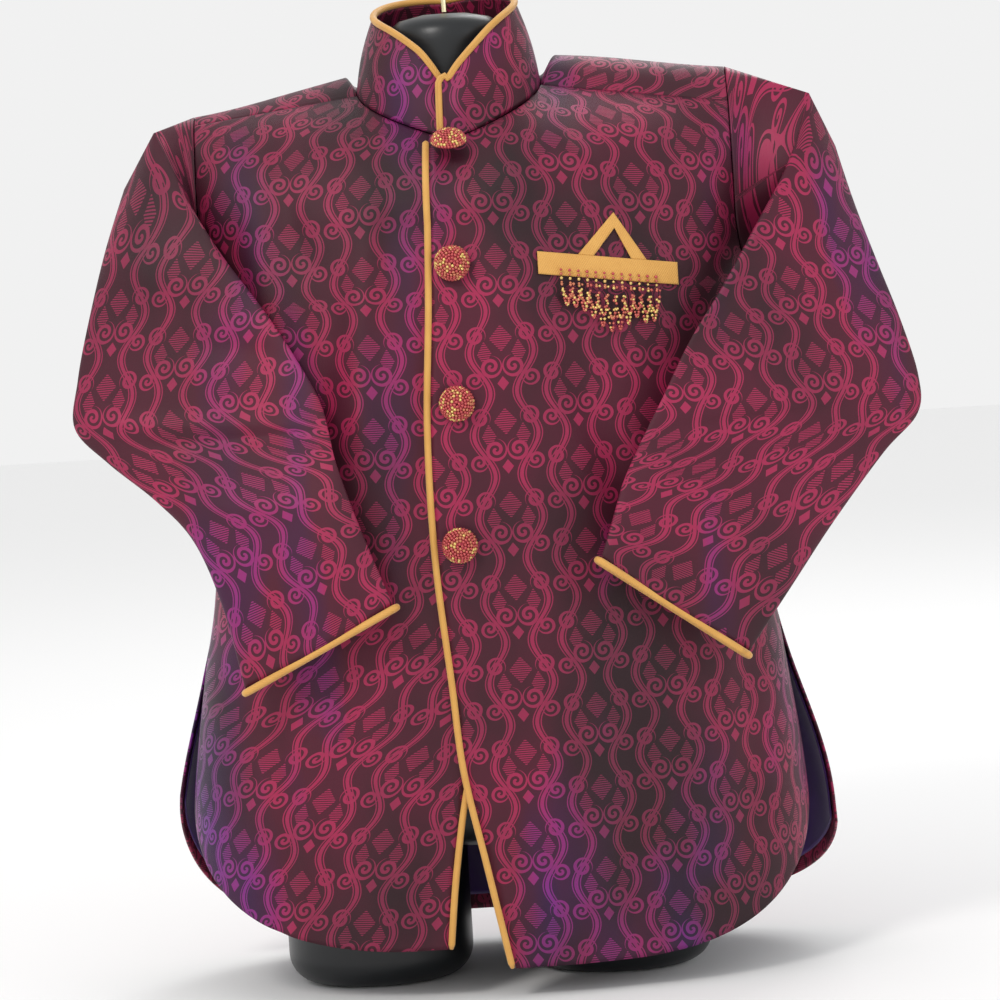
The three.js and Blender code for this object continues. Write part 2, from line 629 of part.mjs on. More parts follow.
// Piping round the pressed cuff: two straight runs and two small round folds.
function cuffPiping(side) {
  const row = SLEEVE[side][SLEEVE[side].length - 1];
  const outer = point(...row.outer);
  const inner = point(...row.inner);
  const before = SLEEVE[side][SLEEVE[side].length - 2];
  const middle = outer.clone().lerp(inner, 0.5);
  const above = point(...before.outer).lerp(point(...before.inner), 0.5);
  const across = outer.clone().sub(inner).normalize();
  const down = middle.clone().sub(above);
  down.addScaledVector(across, -down.dot(across)).normalize();
  const thick = down.clone().cross(across).normalize();
  const centre = middle.clone().addScaledVector(down, PIPING_RADIUS + 2 * SEAM_GAP);
  const half = outer.distanceTo(inner) / 2 - CUFF_FOLD_RADIUS;
  const end = (sign, turn) =>
    spread(5, (t) => {
      const a = turn + Math.PI * t;
      const p = centre.clone().addScaledVector(across, sign * half + CUFF_FOLD_RADIUS * Math.sin(a) * 1);
      return p.addScaledVector(thick, CUFF_FOLD_RADIUS * Math.cos(a));
    });
  const run = (from, to) => spread(7, (t) => from.clone().lerp(to, t)).slice(1, -1);
  const first = end(1, 0);
  const second = end(-1, Math.PI);
  const path = [...first, ...run(first[5], second[0]), ...second, ...run(second[5], first[0])];
  return cord(path, PIPING_RADIUS, PIPING_SIDES, () => down, true);
}

// ---------------------------------------------------------------- buttons and pocket trim

// A domed button on a short shank, turned about its own axis.
function buttonShape() {
  const { radius, dome, rim, shank } = BUTTON;
  const curve = spread(6, (t) => {
    const a = (Math.PI / 2) * (1 - t);
    return new THREE.Vector2(radius * Math.sin(a), rim + dome * Math.cos(a));
  });
  const profile = [
    new THREE.Vector2(0, -2.4),
    new THREE.Vector2(shank, -2.4),
    new THREE.Vector2(shank, 0),
    new THREE.Vector2(radius - 0.6, 0),
    ...curve,
  ];
  profile[profile.length - 1].x = 0;
  const made = new THREE.LatheGeometry(profile, 20);
  made.deleteAttribute("normal");
  made.deleteAttribute("uv");
  const merged = mergeVertices(made, 1e-3);
  const places = merged.getAttribute("position");
  const positions = Array.from({ length: places.count }, (_, i) => [places.getX(i), places.getY(i), places.getZ(i)]);
  const flat = new Set();
  const index = Array.from(merged.index.array);
  const kept = [];
  for (let i = 0; i < index.length; i += 3) {
    flat.clear();
    index.slice(i, i + 3).forEach((n) => flat.add(n));
    if (flat.size === 3) kept.push(...index.slice(i, i + 3));
  }
  return facingOut(positions, kept);
}

function placeButton(mesh, { x, height, lookUp, standOff }) {
  const seat = onLeftFront(x, height);
  const tilt = radians(lookUp);
  mesh.rotation.x = Math.PI - tilt;
  mesh.position.set(seat.x, seat.y - standOff, seat.z);
}

// Moves a flat pattern of (x, height) points onto the left front, as a wall that stands off it.
function laidOn(pattern, standOff, thick) {
  const lay = (distance) =>
    pattern.map((row) => row.map(([x, z]) => onLeftFront(x, z).add(point(0, -distance, 0))));
  return wall(lay(standOff + thick), lay(standOff));
}

const pocketTop = (t) => [lerp(POCKET.x0, POCKET.x1, t), lerp(POCKET.top0, POCKET.top1, t)];

function pocketStrip() {
  const rows = spread(2, (v) =>
    spread(10, (t) => {
      const [x, z] = pocketTop(t);
      return [x, z - v * POCKET.tall];
    }),
  );
  return laidOn(rows, 0.5, POCKET_CLOTH);
}

// The folded edge that peaks above the strip: two bands that meet at the tip.
function pocketPeak() {
  const { foot0, foot1, tip, wide } = PEAK;
  const base = (x) => lerp(POCKET.top0, POCKET.top1, (x - POCKET.x0) / (POCKET.x1 - POCKET.x0)) + 2 * SEAM_GAP;
  const inset = wide * 1.45;
  const outside = [[foot0, base(foot0)], tip, [foot1, base(foot1)]];
  const inside = [
    [foot0 + inset, base(foot0 + inset)],
    [tip[0], tip[1] - inset],
    [foot1 - inset, base(foot1 - inset)],
  ];
  const dense = ([a, b, c]) => [
    ...spread(5, (t) => [lerp(a[0], b[0], t), lerp(a[1], b[1], t)]),
    ...spread(5, (t) => [lerp(b[0], c[0], t), lerp(b[1], c[1], t)]).slice(1),
  ];
  return laidOn([dense(inside), dense(outside)], 0.5, POCKET_CLOTH);
}

// The reach of the bead strings that hang from the strip.
function beadFringe() {
  const rows = spread(3, (v) =>
    spread(12, (t) => {
      const x = lerp(FRINGE.x0, FRINGE.x1, t);
      const along = (x - POCKET.x0) / (POCKET.x1 - POCKET.x0);
      const top = lerp(POCKET.top0, POCKET.top1, along) - POCKET.tall * 0.72;
      return [x, top - v * read(FRINGE_DROP, "along", t, "drop")];
    }),
  );
  return laidOn(rows, 0.5 + POCKET_CLOTH + SEAM_GAP, FRINGE.thick);
}

// ---------------------------------------------------------------- dress form and hook

const wasm = await Module();
wasm.setup();

function solidOf(geometry) {
  const bare = new THREE.BufferGeometry();
  bare.setAttribute("position", geometry.getAttribute("position"));
  bare.setIndex(geometry.index);
  const merged = mergeVertices(bare, 1e-4);
  return new wasm.Manifold(
    new wasm.Mesh({
      numProp: 3,
      vertProperties: new Float32Array(merged.getAttribute("position").array),
      triVerts: new Uint32Array(merged.index.array),
    }),
  );
}

function geometryOf(solid) {
  const mesh = solid.getMesh();
  const geometry = new THREE.BufferGeometry();
  geometry.setAttribute("position", new THREE.BufferAttribute(mesh.vertProperties, 3));
  geometry.setIndex(new THREE.BufferAttribute(mesh.triVerts, 1));
  geometry.computeVertexNormals();
  return geometry;
}

// A level superellipse ring with its own front and back depth.
function levelRing(x, half, front, back, square, height) {
  return spread(FORM_SIDES - 1, (t) => {
    const a = (2 * Math.PI * t * (FORM_SIDES - 1)) / FORM_SIDES;
    const c = Math.cos(a);
    const s = Math.sin(a);
    const deep = s < 0 ? front : back;
    return point(
      x + half * Math.sign(c) * Math.abs(c) ** (2 / square),
      deep * Math.sign(s) * Math.abs(s) ** (2 / square),
      height,
    );
  });
}

// A short thigh stub with a rounded lower edge round a flat foot.
function stub(sign) {
  const { x, half, front, back, top, bottom, rounding, foot } = STUB;
  const rim = spread(5, (t) => {
    const a = (Math.PI / 2) * t;
    const size = lerp(foot, 1, Math.sin(a));
    return { size, height: bottom + rounding * (1 - Math.cos(a)) };
  });
  const levels = [...rim, { size: 1, height: top }];
  return loft(
    levels.map(({ size, height }) => levelRing(sign * x, half * size, front * size, back * size, 2.2, height)),
  );
}

function dressForm() {
  const torso = loft(FORM.map((row) => levelRing(0, row.half, row.front, row.back, row.square, row.height)));
  return geometryOf(solidOf(torso).add(solidOf(stub(-1))).add(solidOf(stub(1))));
}

// The wire hook that the form hangs by: a shank, a round bend and a short tip.
function hangingHook() {
  const start = FORM[FORM.length - 1].height + 1;
  const { wire, shank, bend, tip } = HOOK;
  const straight = spread(6, (t) => point(0, 0, lerp(start, shank, t)));
  const round = spread(14, (t) => {
    const a = -0.5 + (Math.PI + 0.5) * t;
    return point(bend - bend * Math.cos(a), 0, shank + 10 + bend * Math.sin(a));
  });
  const last = round[round.length - 1];
  const end = spread(2, (t) => last.clone().add(point(0, 0, -tip * t))).slice(1);
  return cord([...straight, ...round, ...end], wire, HOOK.sides, () => point(0, 1, 0));
}

// ---------------------------------------------------------------- the part

const finish = (color, roughness, metalness = 0) => new THREE.MeshStandardMaterial({ color, roughness, metalness });
const brocade = finish(0x7a1f45, 0.45);
const satin = finish(0x4a1470, 0.35);
const piping = finish(0xd8a04c, 0.6);
const beads = finish(0xb0405a, 0.35);
const plastic = finish(0x1d2226, 0.4);
const wireMetal = finish(0xd8cfae, 0.3, 1);

const root = new THREE.Group();

function add(name, geometry, material) {
  const mesh = new THREE.Mesh(geometry, material);
  mesh.name = name;
  root.add(mesh);
  return mesh;
}

const leftFront = frontGrid("left");
const rightFront = frontGrid("right");
const back = backGrid();

add("front_left", panel(leftFront), brocade);
add("front_right", panel(rightFront), brocade);
add("back", panel(back), brocade);
add("back_lining", backLining(back), satin);
add("collar", collar(), brocade);
add("sleeve_left", sleeve("left"), brocade);
add("sleeve_right", sleeve("right"), brocade);
add("piping_front_left", edgePiping(leftFront, "left"), piping);
add("piping_front_right", edgePiping(rightFront, "right"), piping);
add("piping_collar", collarPiping(), piping);
add("piping_cuff_left", cuffPiping("left"), piping);
add("piping_cuff_right", cuffPiping("right"), piping);
add("pocket_strip", pocketStrip(), piping);
add("pocket_peak", pocketPeak(), piping);
add("bead_fringe", beadFringe(), beads);
for (const [name, place] of Object.entries(BUTTONS)) placeButton(add(name, buttonShape(), beads), place);
add("dress_form", dressForm(), plastic);
add("hanging_hook", hangingHook(), wireMetal);

const box = new THREE.Box3().setFromObject(root);
root.position.set(-(box.min.x + box.max.x) / 2, -(box.min.y + box.max.y) / 2, -box.min.z);

export default root;
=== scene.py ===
# A child's brocade sherwani coat on a limbless dress form. Tables are in millimetres from the neck pit.
import math

import bpy
import numpy as np
from mathutils import Matrix, Vector


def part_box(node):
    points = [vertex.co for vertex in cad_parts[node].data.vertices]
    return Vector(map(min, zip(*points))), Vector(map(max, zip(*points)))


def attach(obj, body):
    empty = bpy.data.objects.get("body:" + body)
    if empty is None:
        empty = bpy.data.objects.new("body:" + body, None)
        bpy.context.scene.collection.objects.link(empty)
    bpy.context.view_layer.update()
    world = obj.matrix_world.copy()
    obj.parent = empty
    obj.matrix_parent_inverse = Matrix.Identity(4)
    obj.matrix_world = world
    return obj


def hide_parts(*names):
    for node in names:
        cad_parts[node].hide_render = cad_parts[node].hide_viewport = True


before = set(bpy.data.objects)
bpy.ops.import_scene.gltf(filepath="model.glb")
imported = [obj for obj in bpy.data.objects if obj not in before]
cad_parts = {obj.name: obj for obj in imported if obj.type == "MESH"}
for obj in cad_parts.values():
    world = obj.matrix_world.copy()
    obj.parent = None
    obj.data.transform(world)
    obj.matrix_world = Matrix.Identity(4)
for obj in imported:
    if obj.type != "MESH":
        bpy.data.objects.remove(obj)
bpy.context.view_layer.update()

# ---------------------------------------------------------------- sizes

CLOTH = 1.4
COLLAR_CLOTH = 1.9
LINING_CLOTH = 0.9
OVERLAP_RISE = 3.4
COLLAR_RISE = 4.2
COLLAR_LIFT = 0.7
COLLAR_LEAN = 0.04
PIPING_RADIUS = 2.0
SQUARENESS = 2.5
CHEST = -45.0
UNDERARM = -88.0
RIDGE_DEPTH = 5.0
ARMHOLE_X = {-1: 144.5, 1: 156.0}
SEAM_TIP = {-1: 16.0, 1: 12.0}
NECK_X, NECK_Y, NECK_CENTRE, NECK_RISE, NECK_POWER = 52.0, 48.0, -4.0, 42.0, 1.1
SEAM_ANGLE = 85.0
COLLAR_TOP_X, COLLAR_TOP_Y = 41.0, 40.0
OVER_END, UNDER_END = -4.0, 372.0
SLIT_TOP, FLARE_DEPTH = -270.0, 120.0
FORM_BOTTOM = -476.0


def columns(names, rows):
    """A table with named columns: each name with its numbers down the rows."""
    return {name: np.array(values, float) for name, values in zip(names.split(), zip(*rows))}


BODY = columns("height right left front back", [
    (-462, 177, 185, 95, 92), (-366, 170, 180, 93, 86), (-300, 160, 172, 91, 78), (-254, 151, 166, 90, 70),
    (-180, 144, 160, 88, 62), (UNDERARM, 150, 163, 82, 70), (CHEST, 152, 164, 76, 68)])
RIDGE = columns("x height", [
    (-155, 18.5), (-146, 20.5), (-100, 31.5), (-50, 41), (0, 48), (54, 45), (100, 41), (158, 31), (168, 29)])
EDGES = columns("height over under", [
    (-462, 8.4, -31), (-400, -3, -23), (-347, -12.6, -12), (-300, -16, 6), (-230, -21, 22), (-160, -21, 25),
    (-87, -16, 25), (0, -12, 24)])
COLLAR_HEIGHT = columns("angle height", [
    (0, 31), (8, 36.5), (20, 41), (38, 45), (55, 45.5), (90, 42), (180, 34)])
HEMS = {-1: (-447.0, 86.0, 10.0), 1: (-459.0, 86.0, 15.0)}
SLEEVE_COLUMNS = "ox oy oz ix iy iz forward up behind down straight"
SLEEVES = {
    -1: columns(SLEEVE_COLUMNS, [
        (-186, -16, -17, -148, -50, -26, -13, 35, 19, 54, 2), (-198, -34, -52, -131, -66, -55, 7, 4, 15, 34, 1),
        (-210, -42, -93, -108, -80, -88, 7, 0, 10, 12, 1), (-217, -46, -122, -92, -88, -115, 7, 0, 8, 2, 1),
        (-220, -50, -148, -81, -94, -137, 7, 0, 8, 0, 1), (-202, -58, -168, -77, -99, -153, 6, 0, 8, 0, 1),
        (-176, -68, -190, -74, -103, -170, 6, 0, 7, 0, 1), (-156, -77, -213, -68, -106, -191, 8, 0, 8, 0, 1),
        (-142, -86, -249, -59, -109, -218, 8, 0, 7, 0, 1), (-132, -92, -295, -47, -112, -251, 5, 0, 5, 0, 1)]),
    1: columns(SLEEVE_COLUMNS, [
        (216, -12, -17, 189, -34, -24, -8, 34, 18, 60, 2), (224, -22, -49, 168, -56, -54, 7, 4, 16, 38, 1),
        (235, -30, -84, 144, -76, -90, 7, 0, 12, 14, 1), (245, -38, -115, 124, -88, -118, 7, 0, 9, 3, 1),
        (253, -44, -147, 108, -96, -146, 7, 0, 8, 0, 1), (251, -50, -168, 98, -101, -163, 6, 0, 8, 0, 1),
        (230, -60, -188, 89, -105, -179, 6, 0, 7, 0, 1), (199, -72, -224, 82, -108, -193, 8, 0, 8, 0, 1),
        (174, -83, -256, 75, -110, -213, 8, 0, 7, 0, 1), (147, -92, -291, 68, -112, -232, 5, 0, 5, 0, 1)]),
}

# The origin is at the bottom centre of the part's box. The form is centred on the coat's axis, and the hook
# stands on it.
form_low, form_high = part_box("dress_form")
AXIS_X = (form_low[0] + form_high[0]) / 2
hook_low, hook_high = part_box("hanging_hook")
DEPTH_SHIFT = (hook_low[1] + hook_high[1]) / 2
SHIFT = np.array([AXIS_X, DEPTH_SHIFT, -FORM_BOTTOM / 1000])

# ---------------------------------------------------------------- the body's surface


def read(table, key, at, name):
    """A column on a smooth cubic curve through the rows, its slopes taken across the rows' neighbours."""
    keys, values = table[key], table[name]
    before = np.maximum(np.arange(len(keys)) - 1, 0)
    after = np.minimum(np.arange(len(keys)) + 1, len(keys) - 1)
    slope = (values[after] - values[before]) / (keys[after] - keys[before])
    at = np.clip(at, keys[0], keys[-1])
    i = np.clip(np.searchsorted(keys, at, side="right") - 1, 0, len(keys) - 2)
    span = keys[i + 1] - keys[i]
    t = (at - keys[i]) / span
    curve = (1 + 2 * t) * (1 - t) ** 2 * values[i] + t * t * (3 - 2 * t) * values[i + 1]
    return curve + span * (t * (1 - t) ** 2 * slope[i] - t * t * (1 - t) * slope[i + 1])


def smooth(x, low, high):
    """A soft step from 0 at low to 1 at high."""
    t = np.clip((x - low) / (high - low), 0, 1)
    return t * t * (3 - 2 * t)


def half_width(x, height):
    """The body's half width on the side where x lies."""
    return np.where(np.asarray(x) < 0, read(BODY, "height", height, "right"), read(BODY, "height", height, "left"))


def depth(x, height, face):
    """Superellipse depth of a level section at x; negative in front."""
    reach = np.clip(np.abs(x) / half_width(x, height), 0, 1)
    share = (1 - reach ** SQUARENESS) ** (1 / SQUARENESS)
    return (-1 if face == "front" else 1) * read(BODY, "height", height, face) * share


def angle_at(x, height):
    """Angle in degrees round a section, from its centre line, that reaches x."""
    reach = np.clip(np.abs(x) / half_width(x, height), 0, 1)
    return np.sign(x) * np.degrees(np.arcsin(reach ** (SQUARENESS / 2)))


def on_body(angle, height, face, extra=0.0):
    """A point of a level superellipse section, by its angle."""
    s, c = np.sin(np.radians(angle)), np.maximum(np.cos(np.radians(angle)), 0)
    x = np.sign(s) * (half_width(s, height) + extra) * np.abs(s) ** (2 / SQUARENESS)
    y = read(BODY, "height", height, face) * c ** (2 / SQUARENESS)
    return np.stack([x, -y if face == "front" else y, height + 0 * x], -1)


def on_dome(x, sweep):
    """The shoulders: at each x a quarter ellipse from the back up to the ridge and one down the front."""
    c = np.cos(np.radians(sweep))
    reach = np.where(c > 0, depth(x, CHEST, "back") - RIDGE_DEPTH, RIDGE_DEPTH - depth(x, CHEST, "front"))
    rise = read(RIDGE, "x", x, "height") - CHEST
    return np.stack([x + 0 * c, RIDGE_DEPTH + reach * c, CHEST + rise * np.sin(np.radians(sweep))], -1)


def sweep_at(x, height):
    """The sweep at which the front of the dome has a height."""
    rise = read(RIDGE, "x", x, "height") - CHEST
    return 180 - np.degrees(np.arcsin(np.clip((height - CHEST) / rise, 0, 1)))


def on_neckline(angle):
    """An ellipse round the neck that rises from the front to the back."""
    a = np.radians(angle)
    height = NECK_RISE * np.abs(np.sin(a / 2)) ** NECK_POWER
    return np.stack([NECK_X * np.sin(a), NECK_CENTRE - NECK_Y * np.cos(a), height], -1)


def on_shoulder_seam(side, t):
    """A straight seam from the neckline to the armhole."""
    neck = on_neckline(side * SEAM_ANGLE)
    x = np.array(side * ARMHOLE_X[side])
    tip = on_dome(x, sweep_at(x, SEAM_TIP[side]))
    return neck + (tip - neck) * np.asarray(t)[..., None]


def armhole_angle(side):
    """The section angle at which the armhole's side lies."""
    return abs(float(angle_at(side * ARMHOLE_X[side], CHEST)))


def panel_end(side, height):
    """The side seam below the underarm, then the armhole as a quarter ellipse."""
    drop = np.clip((CHEST - height) / (CHEST - UNDERARM), 0, 1)
    return 90 - (90 - armhole_angle(side)) * np.sqrt(1 - drop * drop)


def overlap_rise(x):
    """How far the left front stands out where it covers the right one."""
    return OVERLAP_RISE * (1 - smooth(x, 32, 78))


def on_left_front(x, height):
    """A point on the outside of the left front."""
    low = np.stack([x, depth(x, np.minimum(height, CHEST), "front"), height], -1)
    high = on_dome(x, sweep_at(x, height))
    high[..., 2] = height
    p = np.where((height <= CHEST)[..., None], low, high)
    p[..., 1] -= overlap_rise(x)
    return p


# ---------------------------------------------------------------- mesh tools


def new_mesh(name, points, quads, cloth=None):
    """A mesh object at the origin, from millimetre points, with an optional cloth map in metres."""
    mesh = bpy.data.meshes.new(name)
    mesh.from_pydata((points / 1000 + SHIFT).tolist(), [], quads.tolist())
    if cloth is not None:
        layer = mesh.uv_layers.new(name="cloth")
        corner = np.empty(len(mesh.loops), np.int32)
        mesh.loops.foreach_get("vertex_index", corner)
        layer.data.foreach_set("uv", (cloth[corner] / 1000).ravel())
    mesh.shade_smooth()
    mesh.validate()
    obj = bpy.data.objects.new(name, mesh)
    bpy.context.scene.collection.objects.link(obj)
    return obj


def grid_quads(rows, cols, loop=False, offset=0):
    """Quads between neighbouring rows and columns."""
    i, j = np.meshgrid(np.arange(rows - 1), np.arange(cols if loop else cols - 1), indexing="ij")
    k = (j + 1) % cols
    quads = np.stack([i * cols + j, i * cols + k, (i + 1) * cols + k, (i + 1) * cols + j], -1)
    return quads.reshape(-1, 4) + offset


def grid_normals(grid, centre):
    """Unit normals from the differences along rows and columns, turned away from a centre."""
    n = np.cross(np.gradient(grid, axis=1), np.gradient(grid, axis=0))
    n /= np.maximum(np.linalg.norm(n, axis=-1, keepdims=True), 1e-9)
    outward = np.sum(n * (grid - centre), axis=-1, keepdims=True)
    return np.where(outward < 0, -n, n)


def strip(a, b):
    """Quads between two equal lists of vertex numbers."""
    return np.stack([a[:-1], a[1:], b[1:], b[:-1]], -1)


def face_out(quads, points):
    """Turns all faces if the enclosed volume is negative."""
    a, b, c, d = (points[quads[:, k]] for k in range(4))
    volume = np.sum(a * np.cross(b, c)) + np.sum(a * np.cross(c, d))
    return quads if volume > 0 else quads[:, ::-1]


def wall(name, outer, inner, cloth, loop=False):
    """A closed wall: an outer grid, an inner one, and strips round their borders."""
    rows, cols = outer.shape[:2]
    count = rows * cols
    number = np.arange(count).reshape(rows, cols)
    quads = [grid_quads(rows, cols, loop), grid_quads(rows, cols, loop, count)[:, ::-1]]
    wrap = (lambda a: np.append(a, a[0])) if loop else (lambda a: a)
    low, high = wrap(number[0]), wrap(number[-1])
    quads += [strip(low, low + count)[:, ::-1], strip(high, high + count)]
    if not loop:
        quads += [strip(number[:, 0], number[:, 0] + count), strip(number[:, -1], number[:, -1] + count)[:, ::-1]]
    points = np.concatenate([outer.reshape(-1, 3), inner.reshape(-1, 3)])
    uv = cloth.reshape(-1, 2)
    return new_mesh(name, points, face_out(np.concatenate(quads), points), np.concatenate([uv, uv]))


def cord(name, path, side, radius, sides=14, joined=False):
    """A round section carried along a path: across it, the cross product of its direction and a side."""
    if joined:
        along = np.roll(path, -1, axis=0) - np.roll(path, 1, axis=0)
    else:
        along = np.gradient(path, axis=0)
    along /= np.linalg.norm(along, axis=1, keepdims=True)
    across = np.cross(along, side)
    across /= np.linalg.norm(across, axis=1, keepdims=True)
    other = np.cross(across, along)
    a = np.linspace(0, 2 * np.pi, sides, endpoint=False)
    size = np.full(len(path), radius)
    if not joined:
        size[[0, -1]] = radius * 0.5
    ring = np.cos(a)[None, :, None] * other[:, None] + np.sin(a)[None, :, None] * across[:, None]
    grid = path[:, None] + ring * size[:, None, None]
    length = np.append(0, np.cumsum(np.linalg.norm(np.diff(path, axis=0), axis=1)))
    cloth = np.stack([np.broadcast_to(a * radius, grid.shape[:2]), np.broadcast_to(length[:, None], grid.shape[:2])], -1)
    rows = len(path)
    points = grid.reshape(-1, 3)
    if joined:
        rows += 1
        quads = grid_quads(rows, sides, True) % len(points)
        return new_mesh(name, points, face_out(quads, points), cloth.reshape(-1, 2))
    quads = [grid_quads(rows, sides, True)]
    j = np.arange(sides)
    k = (j + 1) % sides
    last = (rows - 1) * sides
    middle = len(points)
    quads += [np.stack([0 * j + middle, k, j, j], -1)[:, :3], np.stack([0 * j + middle + 1, last + j, last + k], -1)]
    points = np.concatenate([points, path[[0]], path[[-1]]])
    flat = face_out(quads[0], points)
    turned = flat is not quads[0]
    caps = [cap[:, ::-1] if turned else cap for cap in quads[1:]]
    uv = np.concatenate([cloth.reshape(-1, 2), cloth[[0], [0]], cloth[[-1], [0]]])
    mesh_faces = flat.tolist() + [list(map(int, f)) for cap in caps for f in cap]
    return new_mesh(name, points, np.array(mesh_faces, dtype=object), uv)


def cloth_map(grid):
    """Arc length across each row and up the middle column."""
    across = np.linalg.norm(np.diff(grid, axis=1), axis=-1)
    u = np.concatenate([np.zeros((len(grid), 1)), np.cumsum(across, axis=1)], axis=1)
    up = np.linalg.norm(np.diff(grid, axis=0), axis=-1)
    v = np.concatenate([np.zeros((1, grid.shape[1])), np.cumsum(up, axis=0)], axis=0)
    start = np.sign(grid[:, :1, 0]) * np.abs(grid[:, :1, 0])
    return np.stack([u + start, v - v[-1:] * 0 + grid[:1, :, 2]], -1)


# Soft folds pressed into a panel: a segment from (x0, z0) to (x1, z1), its half width and its depth.
FOLDS = {
    "front_left": [
        (101, -313, 98, -470, 5, -1.6), (60, -90, 96, -250, 13, -3.0), (120, -120, 118, -300, 10, 2.2),
        (40, -230, 58, -455, 15, 2.6), (82, -300, 70, -460, 11, -2.4), (150, -280, 142, -400, 11, -2.2),
        (30, -30, 118, -30, 9, -1.6), (60, 0, 110, -60, 9, 2.2), (20, -60, 60, -190, 12, 1.6)],
    "front_right": [
        (-113, -314, -122, -448, 5, -1.6), (-75, -60, -90, -200, 12, -3.2), (-48, -20, -58, -180, 9, 2.4),
        (-98, 10, -84, -70, 8, -2.2), (-40, -250, -62, -445, 13, 2.6), (-88, -260, -92, -440, 12, -2.4),
        (-118, -30, -100, -120, 9, 2.2), (-24, -100, -36, -300, 9, -1.4)],
    "back": [
        (-60, -40, -20, -120, 14, -2.6), (70, -30, 30, -130, 14, -2.4), (-100, -220, -118, -430, 12, 2.6),
        (-45, -240, -52, -450, 13, -2.6), (20, -230, 26, -450, 12, 2.4), (85, -230, 104, -440, 13, -2.6),
        (-10, -170, 60, -185, 9, -1.8), (-90, -175, -20, -160, 8, -1.6), (150, -250, 160, -400, 10, 2.0)],
}


def fold_height(grid, folds):
    """Sum of soft ridges: a bell across each segment, faded towards its ends."""
    total = np.zeros(grid.shape[:2])
    x, z = grid[..., 0], grid[..., 2]
    for x0, z0, x1, z1, half, tall in folds:
        length = math.hypot(x1 - x0, z1 - z0)
        ux, uz = (x1 - x0) / length, (z1 - z0) / length
        along = ((x - x0) * ux + (z - z0) * uz) / length
        off = (x - x0) * uz - (z - z0) * ux + 3 * np.sin(along * 4 + x0)
        fade = smooth(along, -0.15, 0.25) * (1 - smooth(along, 0.8, 1.12))
        total += tall * fade * np.exp(-((off / half) ** 2))
    return total


def folded(grid, name, keep_edge=0.0):
    """A grid moved along its normals by its folds, but not at its seams."""
    rows, cols = grid.shape[:2]
    side = np.minimum(np.arange(cols), np.arange(cols)[::-1]) / cols
    top = np.arange(rows)[::-1] / rows
    hold = smooth(side, 0, 0.08)[None, :] * smooth(top, 0, 0.08)[:, None]
    return grid + grid_normals(grid, BODY_CENTRE) * (fold_height(grid, FOLDS[name]) * hold)[..., None]


BODY_CENTRE = np.array([0, 0, -150.0])

# ---------------------------------------------------------------- panels


def hem_height(hem, angle):
    """Level in front, then rising as a square law to the side corner."""
    height, lift, start = hem
    return height + lift * np.clip((np.abs(angle) - start) / (90 - start), 0, 1) ** 2


def front_grid(side, cols=96):
    """Section angles between the centre edge and the side seam or armhole, then the dome to the seam."""
    edge = "over" if side > 0 else "under"
    share = np.linspace(0, 1, cols)
    neck = 0.24

    def angle(height):
        start = angle_at(read(EDGES, "height", height, edge), height)
        return start + (side * panel_end(side, height) - start) * share

    low = hem_height(HEMS[side], angle(np.full(cols, HEMS[side][0])))
    skirt = low + (-250 - low) * np.linspace(0, 1, 70)[:, None]
    heights = np.concatenate([skirt, np.broadcast_to(np.linspace(-250, CHEST, 56)[1:, None], (55, cols))])
    rows = on_body(angle(heights), heights, "front")
    start = math.degrees(math.asin(float(read(EDGES, "height", 0, edge)) / NECK_X))
    on_neck = on_neckline(start + (side * SEAM_ANGLE - start) * np.minimum(share / neck, 1))
    on_seam = on_shoulder_seam(side, np.maximum(share - neck, 0) / (1 - neck))
    top = np.where((share < neck)[:, None], on_neck, on_seam)
    x = rows[-1, :, 0]
    end = sweep_at(x, top[:, 2])
    t = np.linspace(0, 1, 44)[1:, None]
    dome = on_dome(np.broadcast_to(x, (43, cols)), 180 + (end - 180) * t) + (top - on_dome(x, end)) * (t * t)[..., None]
    grid = np.concatenate([rows, dome])
    if side > 0:
        grid[..., 1] -= overlap_rise(grid[..., 0])
    return grid


def back_grid(cols=150):
    """Section angles from side seam to side seam, then the dome over the ridge to the seams and neckline."""
    share = np.linspace(-1, 1, cols)
    side = np.where(share < 0, -1, 1)
    lift = np.where(share < 0, 92.0, 54.0)
    low = hem_height((-458.0, lift, 22.0), 90 * share)
    skirt = low + (-250 - low) * np.linspace(0, 1, 70)[:, None]
    heights = np.concatenate([skirt, np.broadcast_to(np.linspace(-250, CHEST, 56)[1:, None], (55, cols))])
    end = np.where(share < 0, panel_end(-1, heights), panel_end(1, heights))
    flare = np.where(share < 0, 10.0, 15.0) * smooth((SLIT_TOP - heights) / FLARE_DEPTH, 0, 1)
    rows = on_body(share * end, heights, "back", flare)
    reach = np.abs(share)
    neck = 0.3
    on_neck = on_neckline(180 - (180 - SEAM_ANGLE) * np.clip(share / neck, -1, 1))
    t = np.maximum(reach - neck, 0) / (1 - neck)
    on_seam = np.where((share < 0)[:, None], on_shoulder_seam(-1, t), on_shoulder_seam(1, t))
    top = np.where((reach > neck)[:, None], on_seam, on_neck)
    x = rows[-1, :, 0]
    over = sweep_at(x, top[:, 2])
    end = (180 - over) + (2 * over - 180) * np.clip((reach - 0.2) / (neck - 0.2), 0, 1)
    t = np.linspace(0, 1, 56)[1:, None]
    dome = on_dome(np.broadcast_to(x, (55, cols)), end * t) + (top - on_dome(x, end)) * (t * t)[..., None]
    return np.concatenate([rows, dome])


def panel(name, grid):
    """A folded panel as a wall, its inside set back along the normals."""
    made = folded(grid, name)
    return wall(name + "_cloth", made, made - grid_normals(made, BODY_CENTRE) * CLOTH, cloth_map(grid))


